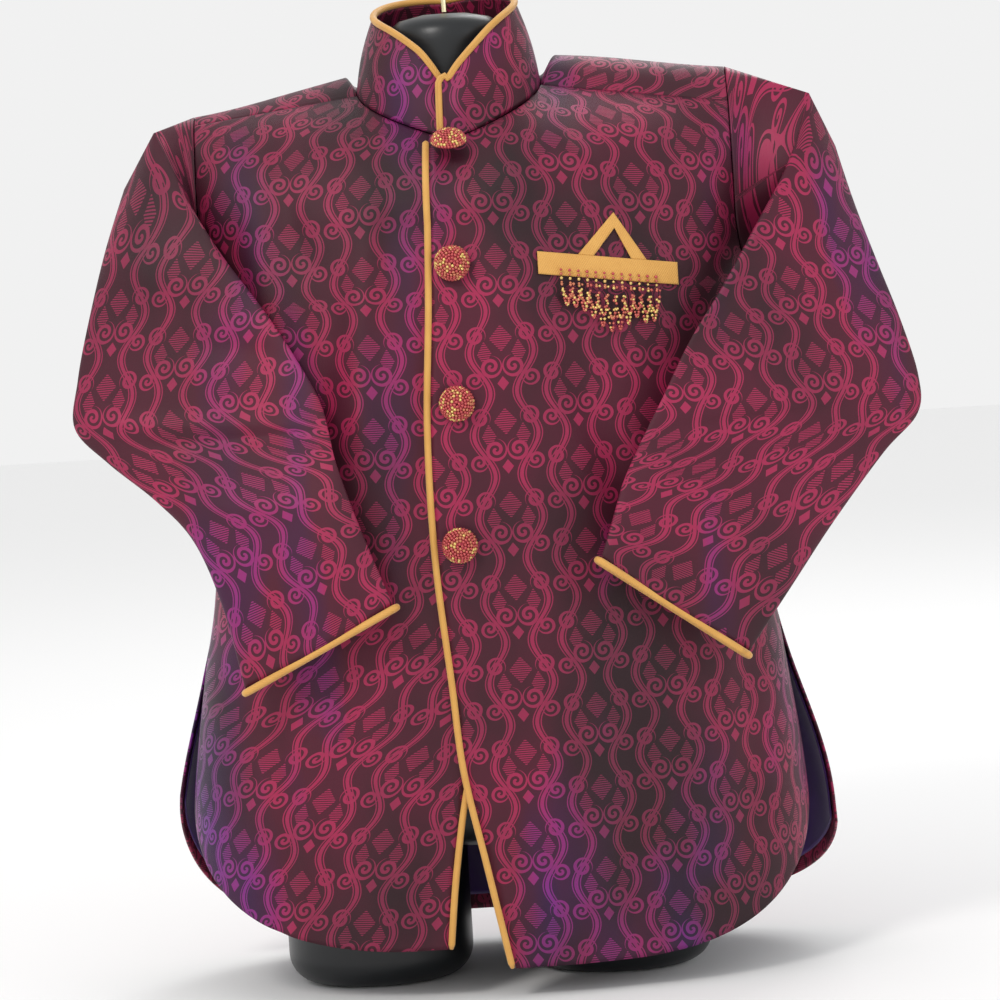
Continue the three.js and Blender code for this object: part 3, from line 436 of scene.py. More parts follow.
def back_lining(grid):
    """The skirt of the back, moved inside it."""
    skirt = folded(grid, "back")[3:88, 3:-3]
    face = skirt - grid_normals(skirt, BODY_CENTRE) * (CLOTH + 0.7)
    inner = face - grid_normals(face, BODY_CENTRE) * LINING_CLOTH
    return wall("back_lining_cloth", face, inner, cloth_map(skirt))


def edge_piping(name, grid, side, start, end):
    """A cord beside a centre edge, at the middle of its wall."""
    path = grid[start:end, 0] + np.array([-side * (PIPING_RADIUS - 0.2), CLOTH / 2, 0])
    return cord(name, path, np.array([[1.0, 0, 0]]), PIPING_RADIUS)


# ---------------------------------------------------------------- collar and sleeves


def on_collar(angle, share):
    """A tapering band on the neckline, its over end standing out and its under end tucked lower."""
    a = np.radians(angle)
    base = on_neckline(np.where(angle > 180, angle - 360, angle))
    around = np.abs(np.where(angle > 180, 360 - angle, angle))
    tall = read(COLLAR_HEIGHT, "angle", around, "height") - 7 * smooth(angle, 335, 362) + COLLAR_LEAN * base[..., 0]
    rise = COLLAR_RISE * (1 - smooth(angle, OVER_END, 42))
    bow = 1.6 * np.sin(np.pi * share)
    x = (NECK_X + (COLLAR_TOP_X - NECK_X) * share + rise + bow) * np.sin(a)
    y = NECK_CENTRE - (NECK_Y + (COLLAR_TOP_Y - NECK_Y) * share + rise + bow) * np.cos(a)
    return np.stack([x, y, base[..., 2] + COLLAR_LIFT + share * tall], -1)


def radial(points):
    """Unit vectors away from the neck's axis."""
    out = points * np.array([1.0, 1, 0]) - np.array([0, NECK_CENTRE, 0])
    return out / np.linalg.norm(out, axis=-1, keepdims=True)


def collar():
    """The band on a grid of angle and height."""
    angle, share = np.meshgrid(np.linspace(OVER_END, UNDER_END, 220), np.linspace(0, 1, 20))
    grid = on_collar(angle, share)
    cloth = np.stack([np.radians(angle) * NECK_X, grid[..., 2]], -1)
    return wall("collar_cloth", grid, grid - radial(grid) * COLLAR_CLOTH, cloth)


def collar_piping():
    """Up the over end, round its corner and along the collar's top."""
    off = PIPING_RADIUS
    share = np.linspace(0.02, 0.88, 16)
    end = on_collar(np.full(16, OVER_END), share)
    end = end - radial(end) * COLLAR_CLOTH / 2 + np.array([-off, 0, 0])
    angle = np.linspace(OVER_END + 2, UNDER_END, 230)
    top = on_collar(angle, np.ones(230))
    steep = 1 + 0.3 * (1 - smooth(np.minimum(angle - OVER_END, 366 - angle), 20, 50))
    top = top - radial(top) * COLLAR_CLOTH / 2 + np.array([0, 0, 1.0]) * (off * 0.75 * steep)[:, None]
    corner = (end[-1] * 0.45 + top[0] * 0.55 + np.array([-0.6, 0, 0.6]))[None]
    path = np.concatenate([end, corner, top])
    return cord("piping_collar_cord", path, radial(path), PIPING_RADIUS)


def on_armhole(side, angle):
    """The dome's edge above the chest level and the panels' end below it."""
    s = np.sin(np.radians(angle))
    upper = on_dome(np.full(angle.shape, side * ARMHOLE_X[side]), angle)
    height = CHEST + (UNDERARM - CHEST) * np.maximum(-s, 0)
    turn = side * (90 - (90 - armhole_angle(side)) * np.abs(np.cos(np.radians(angle))))
    front, back = on_body(turn, height, "front"), on_body(turn, height, "back")
    lower = np.where((np.cos(np.radians(angle)) < 0)[:, None], front, back)
    return np.where((s >= 0)[:, None], upper, lower)


def sleeve_rings(side, across, face, count=132):
    """Rings of two half ellipses between the creases, after a ring on the armhole and two valleys."""
    angle = np.linspace(0, 360, count, endpoint=False)
    c, s = np.cos(np.radians(angle)), np.sin(np.radians(angle))
    row = SLEEVES[side]
    outer = np.stack([row["ox"], row["oy"], row["oz"]], -1)
    inner = np.stack([row["ix"], row["iy"], row["iz"]], -1)
    middle = (outer + inner) / 2
    reach = outer - middle
    length = np.linalg.norm(reach, axis=1, keepdims=True)
    reach *= (length - across) / length
    zero = np.zeros(len(row["up"]))
    bulges = []
    for bulge in (np.stack([zero, -row["forward"], row["up"]], -1), np.stack([zero, row["behind"], -row["down"]], -1)):
        size = np.linalg.norm(bulge, axis=1, keepdims=True)
        bulges.append(bulge * (size - face) / size)
    power = row["straight"][:, None]
    side_share = (np.sign(c) * np.abs(c) ** power)[..., None]
    face_share = (np.abs(s) ** power)[..., None]
    bulge = np.where((s >= 0)[None, :, None], bulges[0][:, None], bulges[1][:, None])
    rings = middle[:, None] + side_share * reach[:, None] + face_share * bulge
    cap = on_armhole(side, angle) + np.array([side * 0.6, 0, 0])
    hub = np.array([side * (ARMHOLE_X[side] + 2), 0, CHEST + 8])
    inward = (hub - cap) * np.array([0, 1, 1])
    cap = cap + inward / np.maximum(np.linalg.norm(inward, axis=1, keepdims=True), 1e-6) * face
    front = np.clip(np.sin(np.radians(angle - 95)), 0, 1)
    valleys = [cap + (rings[0] - cap) * t + np.array([0, 7.0, 0]) * (front * math.sin(math.pi * t))[:, None]
               for t in (0.35, 0.7)]
    return np.concatenate([cap[None], np.stack(valleys), rings])


def finer(rings, steps):
    """More rings on smooth cubic curves through the given ones."""
    number = np.arange(len(rings), dtype=float)
    at = np.linspace(0, len(rings) - 1, (len(rings) - 1) * steps + 1)
    table = {"n": number, "v": rings}
    before = np.maximum(np.arange(len(rings)) - 1, 0)
    after = np.minimum(np.arange(len(rings)) + 1, len(rings) - 1)
    slope = (table["v"][after] - table["v"][before]) / (number[after] - number[before])[:, None, None]
    slope[3] = 0
    i = np.clip(at.astype(int), 0, len(rings) - 2)
    t = (at - i)[:, None, None]
    curve = (1 + 2 * t) * (1 - t) ** 2 * rings[i] + t * t * (3 - 2 * t) * rings[i + 1]
    return curve + t * (1 - t) ** 2 * slope[i] - t * t * (1 - t) * slope[i + 1]


# Soft pulls on the sleeves: ring share, angle, half widths and depth.
SLEEVE_PULLS = [(0.35, 60, 0.03, 40, 2.2), (0.47, 120, 0.03, 30, -2.4), (0.6, 70, 0.025, 45, 2.0),
                (0.66, 110, 0.02, 40, -1.8), (0.8, 80, 0.03, 35, 1.6), (0.5, 260, 0.03, 50, 2.2), (0.7, 250, 0.03, 50, -2)]


def sleeve(name, side):
    """The fine rings with soft pulls, as a wall open at the armhole and the cuff."""
    outer = finer(sleeve_rings(side, 0, 0), 10)
    inner = finer(sleeve_rings(side, 2.0, 1.2), 10)
    share = np.linspace(0, 1, len(outer))[:, None]
    angle = np.linspace(0, 360, outer.shape[1], endpoint=False)[None]
    pull = sum(tall * np.exp(-((share - at - (angle - turn) / 2600) / half) ** 2 - ((angle - turn) / wide) ** 2)
               for at, turn, half, wide, tall in SLEEVE_PULLS)
    forward = np.where(angle < 180, -1.0, 1.0) * pull
    outer[..., 1] += forward
    inner[..., 1] += forward
    width = np.linalg.norm(outer[:, :1] - outer, axis=-1)
    middle = (outer[:, 0] + outer[:, outer.shape[1] // 2]) / 2
    along = np.append(0, np.cumsum(np.linalg.norm(np.diff(middle, axis=0), axis=1)))
    cloth = np.stack([width * np.where(angle < 180, 1, -1), np.broadcast_to(-along[:, None], width.shape)], -1)
    return wall(name + "_cloth", outer, inner, cloth, loop=True)


def cuff_piping(name, side):
    """Two straight runs and two small round folds round the pressed cuff."""
    row = {key: values for key, values in SLEEVES[side].items()}
    outer = np.array([row["ox"][-1], row["oy"][-1], row["oz"][-1]])
    inner = np.array([row["ix"][-1], row["iy"][-1], row["iz"][-1]])
    above = np.array([row["ox"][-2] + row["ix"][-2], row["oy"][-2] + row["iy"][-2], row["oz"][-2] + row["iz"][-2]]) / 2
    middle = (outer + inner) / 2
    across = (outer - inner) / np.linalg.norm(outer - inner)
    down = middle - above
    down -= across * (down @ across)
    down /= np.linalg.norm(down)
    thick = np.cross(down, across)
    centre = middle + down * PIPING_RADIUS * 0.9
    fold = 3.0
    half = np.linalg.norm(outer - inner) / 2 - fold + 1
    a = np.linspace(0, np.pi, 12)
    right = half + fold * np.sin(a)
    run = np.linspace(half, -half, 30)[1:-1]
    along = np.concatenate([right, run, -right, -run])
    off = np.concatenate([fold * np.cos(a), np.full(28, -fold), -fold * np.cos(a), np.full(28, fold)])
    path = centre + along[:, None] * across + off[:, None] * thick
    return cord(name, path, down[None], PIPING_RADIUS, joined=True)


# ---------------------------------------------------------------- trim, beads and form


def laid_on(name, pattern, stand_off, thick):
    """A flat pattern of (x, height) points moved onto the left front, as a wall that stands off it."""
    seat = on_left_front(pattern[..., 0], pattern[..., 1])
    outer = seat - np.array([0, stand_off + thick, 0])
    inner = seat - np.array([0, stand_off, 0])
    return wall(name, outer, inner, pattern)


def pocket_top(x):
    """The strip's upper edge, which falls slightly towards the side."""
    return -63.5 - 11.5 * (x - 43.5) / 77.5


def pocket_strip():
    """The strip across the pocket's mouth."""
    x, v = np.meshgrid(np.linspace(43.5, 121, 80), np.linspace(0, 12.4, 12))
    return laid_on("pocket_strip_cloth", np.stack([x, pocket_top(x) - v], -1), 0.3, 1.3)


def pocket_peak():
    """Two straight bands between an outer and an inner angle."""
    foot0, foot1, tip, inset = 66.0, 104.0, np.array([87.0, -45.0]), 8.7
    corners = [np.array([[foot0, pocket_top(foot0)], tip, [foot1, pocket_top(foot1)]]),
               np.array([[foot0 + inset, pocket_top(foot0 + inset)], tip - [0, inset],
                         [foot1 - inset, pocket_top(foot1 - inset)]])]
    t = np.linspace(0, 1, 30)[:, None]
    edges = [np.concatenate([c[0] + (c[1] - c[0]) * t, c[1] + (c[2] - c[1]) * t[1:]]) for c in corners]
    v = np.linspace(0, 1, 6)[:, None, None]
    return laid_on("pocket_peak_cloth", edges[1] + (edges[0] - edges[1]) * v, 0.2, 1.2)


def ball(sides=10, rings=6):
    """A unit bead as a closed grid of points and quads with pinched poles."""
    v = np.linspace(-np.pi / 2 + 0.12, np.pi / 2 - 0.12, rings)[:, None]
    u = np.linspace(0, 2 * np.pi, sides, endpoint=False)[None]
    points = np.stack([np.cos(v) * np.cos(u), np.cos(v) * np.sin(u), np.sin(v) + 0 * u], -1).reshape(-1, 3)
    return points, grid_quads(rings, sides, True), sides, rings


def bead_cloud(name, centres, radii, tones):
    """Copies of one bead at many centres, each with its own tone from 0 (red) to 1 (gold)."""
    unit, quads, sides, rings = ball()
    points = (centres[:, None] + unit[None] * radii[:, None, None]).reshape(-1, 3)
    all_quads = (quads[None] + (np.arange(len(centres)) * len(unit))[:, None, None]).reshape(-1, 4)
    obj = new_mesh(name, points, all_quads)
    caps = [[int(n * len(unit) + k) for k in range(sides)][::-1] for n in range(len(centres))]
    caps += [[int(n * len(unit) + (rings - 1) * sides + k) for k in range(sides)] for n in range(len(centres))]
    mesh = obj.data
    all_faces = all_quads.tolist() + caps
    mesh.clear_geometry()
    mesh.from_pydata((points / 1000 + SHIFT).tolist(), [], all_faces)
    mesh.shade_smooth()
    layer = mesh.attributes.new("tone", "FLOAT", "POINT")
    layer.data.foreach_set("value", np.repeat(tones, len(unit)))
    return obj


def bead_strings(rng):
    """Twelve short drops from the strip, joined by loops that hang lower in the middle."""
    x = np.linspace(56, 108.5, 12)
    top = pocket_top(x) - 9.0
    centres, tones = [], []
    for i, (x0, z0) in enumerate(zip(x, top)):
        n = 4
        centres.append(np.stack([np.full(n, x0), z0 - np.arange(n) * 2.3], -1))
        tones.append(np.array([0.1, 0.2, 0.9, 0.3]))
        if i < 11:
            sag = 11 + 13 * math.exp(-((i - 5.2) / 2.6) ** 2) + (5 if i > 8 else 0)
            for spread_by, share in ((0, 1.0), (1.2, 0.72)):
                t = np.linspace(0, 1, 15)
                loop_x = x0 + (x[1] - x[0]) * (t * (1 + spread_by * 0.3))
                loop_z = z0 - 8 - sag * share * np.sin(np.pi * t) ** 0.8 - t * 0.4
                centres.append(np.stack([loop_x, loop_z], -1))
                tones.append(rng.choice([0.15, 0.3, 0.95], 15, p=[0.45, 0.2, 0.35]))
    flat = np.concatenate(centres)
    tone = np.concatenate(tones)
    seat = on_left_front(flat[:, 0], flat[:, 1])
    stand = 2.6 + rng.uniform(0, 0.9, len(flat))
    return bead_cloud("bead_fringe_beads", seat - np.array([0, 1, 0]) * stand[:, None],
                      rng.uniform(0.72, 0.95, len(flat)), tone)


def button(name, x, height, look_up, stand_off, rng):
    """Beads on a dome: rings of beads whose number falls towards the top, over a plain backing dome."""
    seat = on_left_front(np.array([x]), np.array([float(height)]))[0] - np.array([0, stand_off, 0])
    tilt = math.radians(look_up)
    axis = np.array([0, -math.cos(tilt), math.sin(tilt)])
    right = np.array([1.0, 0, 0])
    up = np.cross(axis, right)
    centres, radii, tones = [], [], []
    for polar in np.linspace(8, 90, 8):
        r, h = 9.2 * math.sin(math.radians(polar)), 1.0 + 6.0 * math.cos(math.radians(polar))
        n = max(int(2 * math.pi * r / 1.75), 3)
        a = np.linspace(0, 2 * np.pi, n, endpoint=False) + polar
        centres.append(seat + h * axis + r * (np.cos(a)[:, None] * right + np.sin(a)[:, None] * up))
        radii.append(np.full(n, 0.92))
        tones.append(rng.choice([0.1, 0.3, 0.9], n, p=[0.55, 0.25, 0.2]))
    beads = bead_cloud(name + "_beads", np.concatenate(centres), np.concatenate(radii), np.concatenate(tones))
    polar = np.linspace(0.05, np.pi / 2, 14)
    profile = np.stack([8.9 * np.sin(polar), 0.6 + 6.0 * np.cos(polar)], -1)
    profile = np.concatenate([profile, [[8.9, -0.2], [1.6, -0.4], [1.5, -2.6], [0.05, -2.6]]])
    a = np.linspace(0, 2 * np.pi, 32, endpoint=False)
    ring = np.cos(a)[:, None] * right + np.sin(a)[:, None] * up
    grid = seat + profile[:, 1, None, None] * axis + profile[:, 0, None, None] * ring[None]
    points = grid.reshape(-1, 3)
    return beads, new_mesh(name + "_dome", points, face_out(grid_quads(len(profile), 32, True), points))


FORM = columns("height half front back square", [
    (-402, 30, 18, 22, 2.2), (-396, 84, 42, 48, 2.2), (-384, 112, 56, 62, 2.2), (-360, 123, 63, 70, 2.3),
    (-320, 125, 64, 70, 2.3), (-260, 117, 60, 60, 2.3), (-190, 106, 60, 50, 2.3), (-120, 116, 66, 54, 2.3),
    (-70, 130, 62, 54, 2.3), (-35, 132, 54, 48, 2.1), (-12, 126, 42, 40, 1.8), (3, 110, 34, 34, 1.6),
    (13, 80, 31, 31, 1.6), (21, 50, 30, 30, 1.8), (30, 36, 29, 30, 2), (50, 32, 29, 31, 2), (62, 31, 28, 30, 2),
    (68, 25, 23, 25, 2), (70.5, 12, 11, 12, 2)])


def level_rings(x, half, front, back, square, height, count=96):
    """Level superellipses with their own front and back depth."""
    a = np.linspace(0, 2 * np.pi, count, endpoint=False)[None]
    c, s = np.cos(a), np.sin(a)
    power = 2 / square[:, None]
    deep = np.where(s < 0, front[:, None], back[:, None])
    return np.stack([x + half[:, None] * np.sign(c) * np.abs(c) ** power,
                     deep * np.sign(s) * np.abs(s) ** power, height[:, None] + 0 * c], -1)


def closed_stack(name, grid):
    """A stack of rings closed by a last ring near each end's middle."""
    ends = [grid[[k]].mean(axis=1, keepdims=True) + (grid[[k]] - grid[[k]].mean(axis=1, keepdims=True)) * 0.002
            for k in (0, -1)]
    grid = np.concatenate([ends[0], grid, ends[1]])
    points = grid.reshape(-1, 3)
    return new_mesh(name, points, face_out(grid_quads(len(grid), grid.shape[1], True), points))


def dress_form():
    """The torso's rings on smooth curves through its table, and two stubs with rounded feet."""
    height = np.concatenate([np.linspace(-402, -360, 24)[:-1], np.linspace(-360, 70.5, 150)])
    torso = level_rings(0, *(read(FORM, "height", height, key) for key in ("half", "front", "back", "square")), height)
    pieces = [closed_stack("dress_form_torso", torso)]
    a = np.linspace(0, np.pi / 2, 16)
    size = np.append(0.72 + 0.28 * np.sin(a), 1.0)
    level = np.append(-476 + 16 * (1 - np.cos(a)), -362.0)
    for sign, name in ((-1, "right"), (1, "left")):
        rings = level_rings(sign * 69, 53 * size, 52 * size, 56 * size, 2.2 + 0 * size, level)
        pieces.append(closed_stack("dress_form_stub_" + name, rings))
    return pieces


# ---------------------------------------------------------------- materials


def linear(hex_colour):
    """An sRGB hex colour as linear red, green, blue and alpha."""
    value = [int(hex_colour[i:i + 2], 16) / 255 for i in (1, 3, 5)]
    return [v / 12.92 if v <= 0.04045 else ((v + 0.055) / 1.055) ** 2.4 for v in value] + [1.0]


def add_node(tree, kind, inputs=None, **settings):
    """Adds a node, sets its properties, and fills or links its inputs."""
    made = tree.nodes.new(kind)
    for key, value in settings.items():
        setattr(made, key, value)
    for key, value in (inputs or {}).items():
        if isinstance(value, bpy.types.NodeSocket):
            tree.links.new(value, made.inputs[key])
        else:
            made.inputs[key].default_value = value
    return made


def new_material(name):
    """An empty node material with its output and shader."""
    material = bpy.data.materials.new(name)
    material.use_nodes = True
    tree = material.node_tree
    tree.nodes.clear()
    shader = add_node(tree, "ShaderNodeBsdfPrincipled")
    add_node(tree, "ShaderNodeOutputMaterial", {"Surface": shader.outputs[0]})
    return material, tree, shader


def brocade():
    """Two-tone silk jacquard: a raised magenta figure on a dark ground, with a purple weft. The purple is laid in fixed
    soft patches as a painted sheen, and soft patches of painted shade darken both tones.
    """
    material, tree, shader = new_material("silk_jacquard")
    shader.inputs["Roughness"].default_value = 0.42
    shader.inputs["Sheen Weight"].default_value = 0.04
    shader.inputs["Specular IOR Level"].default_value = 0.32
    shader.inputs["Sheen Roughness"].default_value = 0.4
    shader.inputs["Sheen Tint"].default_value = linear("#ff9fd0")

    def math_node(operation, a, b=0.0, c=0.0):
        return add_node(tree, "ShaderNodeMath", {0: a, 1: b, 2: c}, operation=operation).outputs[0]

    cloth = add_node(tree, "ShaderNodeUVMap", uv_map="cloth").outputs[0]
    axes = add_node(tree, "ShaderNodeSeparateXYZ", {0: cloth})
    wide, tall = 0.041, 0.046
    u = math_node("DIVIDE", axes.outputs[0], wide)
    drop = math_node("MULTIPLY", math_node("MODULO", math_node("ADD", math_node("FLOOR", u), 200.0), 2.0), 0.5)
    v = math_node("ADD", math_node("DIVIDE", axes.outputs[1], tall), drop)
    a = math_node("MULTIPLY", math_node("ABSOLUTE", math_node("SUBTRACT", math_node("FRACT", u), 0.5)), wide * 1000)
    b = math_node("MULTIPLY", math_node("SUBTRACT", math_node("FRACT", v), 0.5), tall * 1000)

    def scroll(x, y, pitch, hand, size):
        da, db = math_node("SUBTRACT", a, x), math_node("SUBTRACT", b, y)
        r = math_node("SQRT", math_node("ADD", math_node("MULTIPLY", da, da), math_node("MULTIPLY", db, db)))
        turn = math_node("MULTIPLY", math_node("ARCTAN2", db, da), hand)
        wave = math_node("SINE", math_node("ADD", math_node("MULTIPLY", r, 2 * math.pi / pitch), turn))
        inside = math_node("LESS_THAN", r, size)
        return math_node("MULTIPLY", math_node("GREATER_THAN", wave, -0.15), inside)

    def diamond(x, y, half_x, half_y):
        da = math_node("DIVIDE", math_node("ABSOLUTE", math_node("SUBTRACT", a, x)), half_x)
        db = math_node("DIVIDE", math_node("ABSOLUTE", math_node("SUBTRACT", b, y)), half_y)
        return math_node("LESS_THAN", math_node("ADD", da, db), 1.0)

    swell = math_node("MULTIPLY", math_node("COSINE", math_node("MULTIPLY", b, 2 * math.pi / (tall * 1000))), 5.2)
    band = math_node("ABSOLUTE", math_node("SUBTRACT", a, math_node("ADD", swell, 12.5)))
    ogee = math_node("LESS_THAN", band, 1.1)
    line = math_node("LESS_THAN", math_node("ABSOLUTE", math_node("SUBTRACT", band, 2.2)), 0.35)
    hatch = math_node("GREATER_THAN", math_node("SINE", math_node("MULTIPLY", b, 5.2)), -0.1)
    fan = math_node("MULTIPLY", diamond(0, 7, 6.5, 7.5), hatch)
    leaf = math_node("MULTIPLY", diamond(9.5, -1, 4, 7), hatch)
    figure = math_node("MAXIMUM", scroll(6.2, -8.5, 3.6, 1.0, 6.2), scroll(13.5, 9.5, 3.4, -1.0, 5.4))
    figure = math_node("MAXIMUM", figure, scroll(15.5, -15, 3.2, 1.0, 5.0))
    for other in (ogee, line, fan, leaf, diamond(0, -18, 3.2, 4)):
        figure = math_node("MAXIMUM", figure, other)
    rim = math_node("MULTIPLY", math_node("SUBTRACT", 1.0, figure), 1.0)

    place = add_node(tree, "ShaderNodeTexCoord").outputs["Object"]
    long_way = add_node(tree, "ShaderNodeMapping", {"Vector": place, "Scale": (15.0, 6.0, 4.2)}).outputs[0]
    # Painted sheen: the purple weft is real, but where it shows is laid in fixed soft patches from this noise.
    drift = add_node(tree, "ShaderNodeTexNoise", {"Vector": long_way, "Scale": 1.0, "Detail": 2.5, "Roughness": 0.5})
    shot_purple_sheen = add_node(tree, "ShaderNodeMapRange", {0: drift.outputs[0], 1: 0.53, 2: 0.72}).outputs[0]
    # Painted shade: a second noise darkens both tones towards deep maroon in soft patches.
    other_way = add_node(tree, "ShaderNodeMapping", {"Vector": place, "Location": (3.0, 1.0, 2.0),
                                                     "Scale": (11.0, 6.0, 7.0)}).outputs[0]
    painted_shade_noise = add_node(tree, "ShaderNodeTexNoise", {"Vector": other_way, "Scale": 1.0, "Detail": 3.0})
    shade = add_node(tree, "ShaderNodeMapRange", {0: painted_shade_noise.outputs[0], 1: 0.44, 2: 0.66}).outputs[0]
    bright = add_node(tree, "ShaderNodeMix", {0: shot_purple_sheen, 6: linear("#a82350"), 7: linear("#702590")}, data_type="RGBA")
    dark = add_node(tree, "ShaderNodeMix", {0: shot_purple_sheen, 6: linear("#4c0c24"), 7: linear("#2a1142")}, data_type="RGBA")
    # Both the figure and the ground take the painted shade here.
    bright = add_node(tree, "ShaderNodeMix", {0: shade, 6: bright.outputs[2], 7: linear("#75203f")}, data_type="RGBA")
    dark = add_node(tree, "ShaderNodeMix", {0: shade, 6: dark.outputs[2], 7: linear("#260c14")}, data_type="RGBA")
    soft = math_node("MULTIPLY", figure, 0.82)
    colour = add_node(tree, "ShaderNodeMix", {0: soft, 6: dark.outputs[2], 7: bright.outputs[2]}, data_type="RGBA")
    # Threads are drawn about 0.6 mm apart, coarser than the real 0.2 mm, so that they show.
    weft = math_node("SINE", math_node("MULTIPLY", axes.outputs[1], 2 * math.pi / 0.0006))
    warp = math_node("SINE", math_node("MULTIPLY", axes.outputs[0], 2 * math.pi / 0.0006))
    weave = math_node("MULTIPLY", weft, warp)
    height = math_node("ADD", math_node("MULTIPLY", figure, 0.6), math_node("MULTIPLY", weave, 0.18))
    bump = add_node(tree, "ShaderNodeBump", {"Height": height, "Strength": 0.45, "Distance": 0.0004})
    rough = math_node("ADD", math_node("MULTIPLY", rim, 0.12), 0.36)
    tree.links.new(colour.outputs[2], shader.inputs["Base Color"])
    tree.links.new(rough, shader.inputs["Roughness"])
    tree.links.new(bump.outputs[0], shader.inputs["Normal"])
    return material


def woven(name, first, second, roughness, thread, strength):
    """Plain cloth: two close colours in soft drifts, with a crossed-thread relief."""
    material, tree, shader = new_material(name)
    shader.inputs["Roughness"].default_value = roughness
    shader.inputs["Sheen Weight"].default_value = 0.2
    place = add_node(tree, "ShaderNodeTexCoord").outputs["Object"]
    drift = add_node(tree, "ShaderNodeTexNoise", {"Vector": place, "Scale": 70.0, "Detail": 4.0})
    colour = add_node(tree, "ShaderNodeMix", {0: drift.outputs[0], 6: linear(first), 7: linear(second)}, data_type="RGBA")
    cloth = add_node(tree, "ShaderNodeUVMap", uv_map="cloth").outputs[0]
    turned = add_node(tree, "ShaderNodeMapping", {"Vector": cloth, "Rotation": (0, 0, 0.6)}).outputs[0]
    wave = add_node(tree, "ShaderNodeTexWave", {"Vector": turned, "Scale": 0.314 / thread, "Distortion": 0.4})
    bump = add_node(tree, "ShaderNodeBump", {"Height": wave.outputs["Fac"], "Strength": strength, "Distance": 0.0003})
    tree.links.new(colour.outputs[2], shader.inputs["Base Color"])
    tree.links.new(bump.outputs[0], shader.inputs["Normal"])
    return material


def glass_beads():
    """Small foil-lined glass beads, red to gold by each bead's own tone: bright points of light."""
    material, tree, shader = new_material("glass_seed_beads")
    shader.inputs["Roughness"].default_value = 0.22
    shader.inputs["Metallic"].default_value = 0.45
    tone = add_node(tree, "ShaderNodeAttribute", attribute_name="tone").outputs["Fac"]
    ramp = add_node(tree, "ShaderNodeValToRGB", {"Fac": tone})
    ramp.color_ramp.elements[0].color = linear("#b8324e")
    ramp.color_ramp.elements[1].color = linear("#e3c877")
    tree.links.new(ramp.outputs[0], shader.inputs["Base Color"])
    return material


def moulded_form():
    """Blow-moulded black plastic: soft wide highlights with a faint orange-peel skin."""
    material, tree, shader = new_material("blow_moulded_polyethylene")
    shader.inputs["Roughness"].default_value = 0.36
    shader.inputs["Base Color"].default_value = linear("#15181b")
    place = add_node(tree, "ShaderNodeTexCoord").outputs["Object"]
    peel = add_node(tree, "ShaderNodeTexNoise", {"Vector": place, "Scale": 420.0, "Detail": 3.0})
    bump = add_node(tree, "ShaderNodeBump", {"Height": peel.outputs[0], "Strength": 0.12, "Distance": 0.0004})
    tree.links.new(bump.outputs[0], shader.inputs["Normal"])
    return material


def plated_wire():
    """Bright plated steel wire: a sharp line of light with fine drawing marks."""
    material, tree, shader = new_material("plated_steel_wire")
    shader.inputs["Metallic"].default_value = 1.0
    shader.inputs["Base Color"].default_value = linear("#e6dcb4")
    place = add_node(tree, "ShaderNodeTexCoord").outputs["Object"]
    marks = add_node(tree, "ShaderNodeTexNoise", {"Vector": place, "Scale": 900.0})
    rough = add_node(tree, "ShaderNodeMapRange", {0: marks.outputs[0], 3: 0.18, 4: 0.34}).outputs[0]
    tree.links.new(rough, shader.inputs["Roughness"])
    return material


# ---------------------------------------------------------------- camera and light


def camera():
    """A long lens at collar height, looking slightly down, rolled 3.5 degrees."""
    eye = Vector(np.array([14.8, -2600.0, 30.0]) / 1000 + SHIFT)
    target = Vector(np.array([14.8, 0.0, -207.0]) / 1000 + SHIFT)
    data = bpy.data.cameras.new("camera")
    data.sensor_width = 36
    data.lens = 164.6
    data.clip_end = 50
    obj = bpy.data.objects.new("camera", data)
    forward = (target - eye).normalized()
    right = forward.cross(Vector((0, 0, 1))).normalized()
    up = right.cross(forward)
    turn = Matrix((right, up, -forward)).transposed().to_4x4()
    obj.matrix_world = Matrix.Translation(eye) @ turn @ Matrix.Rotation(math.radians(-3.5), 4, "Z")
    bpy.context.scene.collection.objects.link(obj)
    bpy.context.scene.camera = obj


def area_light(name, place, size, power, colour):
    """A square soft light aimed at the coat's middle."""
    data = bpy.data.lights.new(name, "AREA")
    data.size = size
    data.energy = power
    data.color = colour
    obj = bpy.data.objects.new(name, data)
    aim = Vector((0, 0, 0.27)) - Vector(place)
    obj.location = place
    obj.rotation_euler = aim.to_track_quat("-Z", "Y").to_euler()
    bpy.context.scene.collection.objects.link(obj)


def studio():
    """A pale floor under soft light from above, one side and the front."""
    mesh = bpy.data.meshes.new("floor")
    mesh.from_pydata([(-4, -4, -0.0005), (4, -4, -0.0005), (4, 4, -0.0005), (-4, 4, -0.0005)], [], [(0, 1, 2, 3)])
    floor = bpy.data.objects.new("floor", mesh)
    bpy.context.scene.collection.objects.link(floor)
    material, tree, shader = new_material("white_paper")
    shader.inputs["Base Color"].default_value = linear("#f7f7f7")
    shader.inputs["Roughness"].default_value = 0.9
    mesh.materials.append(material)
    world = bpy.data.worlds.new("studio")
    world.use_nodes = True
    world.node_tree.nodes["Background"].inputs[0].default_value = (1, 1, 1, 1)
    world.node_tree.nodes["Background"].inputs[1].default_value = 0.88
    bpy.context.scene.world = world
    area_light("key", (-0.9, -1.5, 1.7), 0.5, 15, (1, 0.97, 0.94))
    area_light("fill", (1.6, -1.2, 0.9), 0.8, 3, (0.9, 0.93, 1))
    area_light("rim", (0.5, 1.4, 1.5), 0.8, 6, (1, 1, 1))
    bpy.context.scene.view_settings.view_transform = "Standard"


# ---------------------------------------------------------------- assembly


def finish(obj, material, slot, *nodes):
    """Gives a piece its material and its body, and hides the CAD nodes that it stands for."""
    obj.data.materials.append(material)
    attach(obj, "root")
    if nodes:
        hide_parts(*nodes)
    return obj


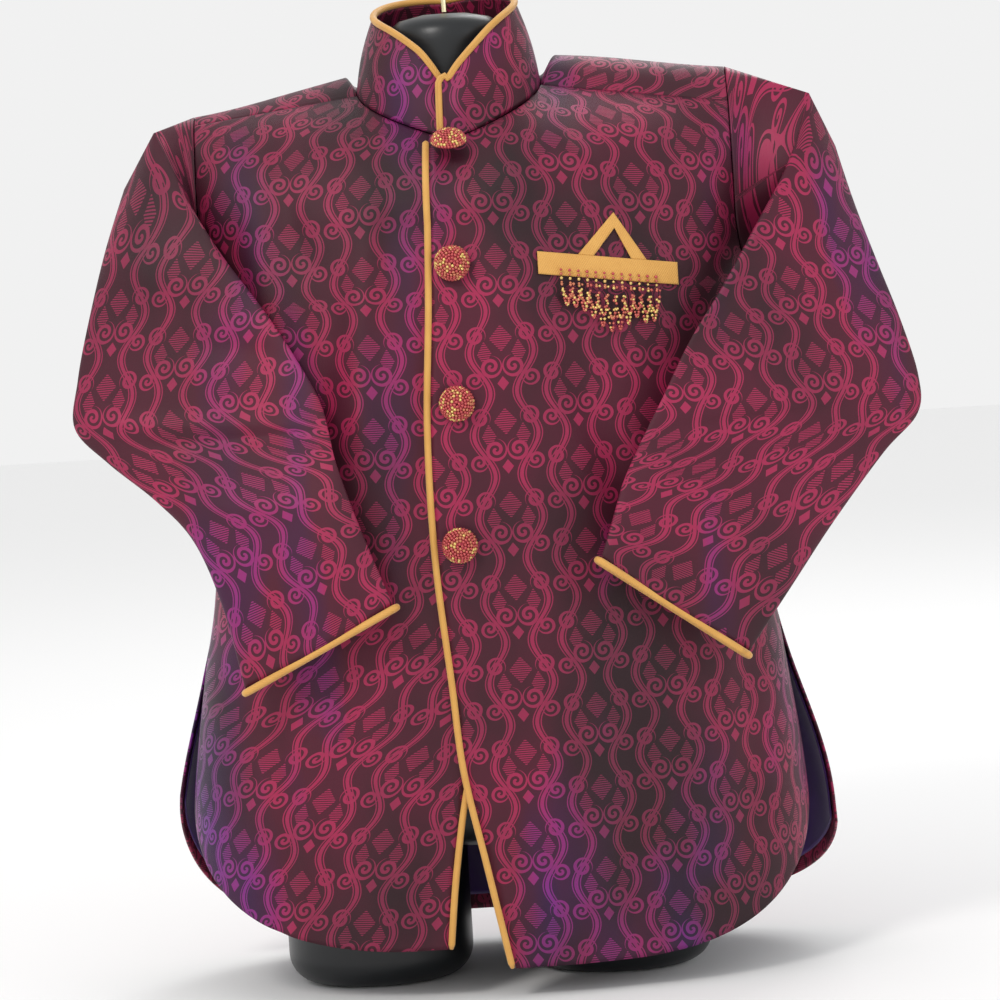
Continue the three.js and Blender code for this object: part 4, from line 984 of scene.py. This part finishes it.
camera()
studio()
silk = brocade()
satin = woven("lining_satin", "#4b1379", "#2f0c52", 0.32, 0.0008, 0.15)
gold = woven("gold_dupion_piping", "#e0ab56", "#c98f3e", 0.55, 0.0011, 0.5)
beads = glass_beads()
plastic = moulded_form()
rng = np.random.default_rng(7)

left_grid, right_grid, back = front_grid(1), front_grid(-1), back_grid()
form_pieces = dress_form()
for piece in form_pieces:
    finish(piece, plastic, "form_plastic", "dress_form")

front_left = finish(panel("front_left", left_grid), silk, "brocade", "front_left")
front_right = finish(panel("front_right", right_grid), silk, "brocade", "front_right")
back_panel = finish(panel("back", back), silk, "brocade", "back")
lining = finish(back_lining(back), satin, "lining_satin", "back_lining")
collar_band = finish(collar(), silk, "brocade", "collar")
sleeve_left = finish(sleeve("sleeve_left", 1), silk, "brocade", "sleeve_left")
sleeve_right = finish(sleeve("sleeve_right", -1), silk, "brocade", "sleeve_right")
finish(edge_piping("piping_front_left_cord", left_grid, 1, 0, -4), gold, "gold_piping", "piping_front_left")
finish(edge_piping("piping_front_right_cord", right_grid, -1, 0, -12), gold, "gold_piping", "piping_front_right")
finish(collar_piping(), gold, "gold_piping", "piping_collar")
finish(cuff_piping("piping_cuff_left_cord", 1), gold, "gold_piping", "piping_cuff_left")
finish(cuff_piping("piping_cuff_right_cord", -1), gold, "gold_piping", "piping_cuff_right")
strip_piece = finish(pocket_strip(), gold, "gold_piping", "pocket_strip")
peak_piece = finish(pocket_peak(), gold, "gold_piping", "pocket_peak")
finish(bead_strings(rng), beads, "beads", "bead_fringe")
for node, x, height, look_up, stand_off in (
        ("button_collar", -1.5, -1, 68, -1), ("button_upper", -3.6, -67, 0, 3.2),
        ("button_middle", -5.6, -144, 0, 3.2), ("button_lower", -8.7, -222, 0, 3.2)):
    beaded, dome = button(node, x, height, look_up, stand_off, rng)
    finish(beaded, beads, "beads", node)
    finish(dome, beads, "beads", node)
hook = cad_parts["hanging_hook"]
hook.data.materials.clear()
hook.data.materials.append(plated_wire())
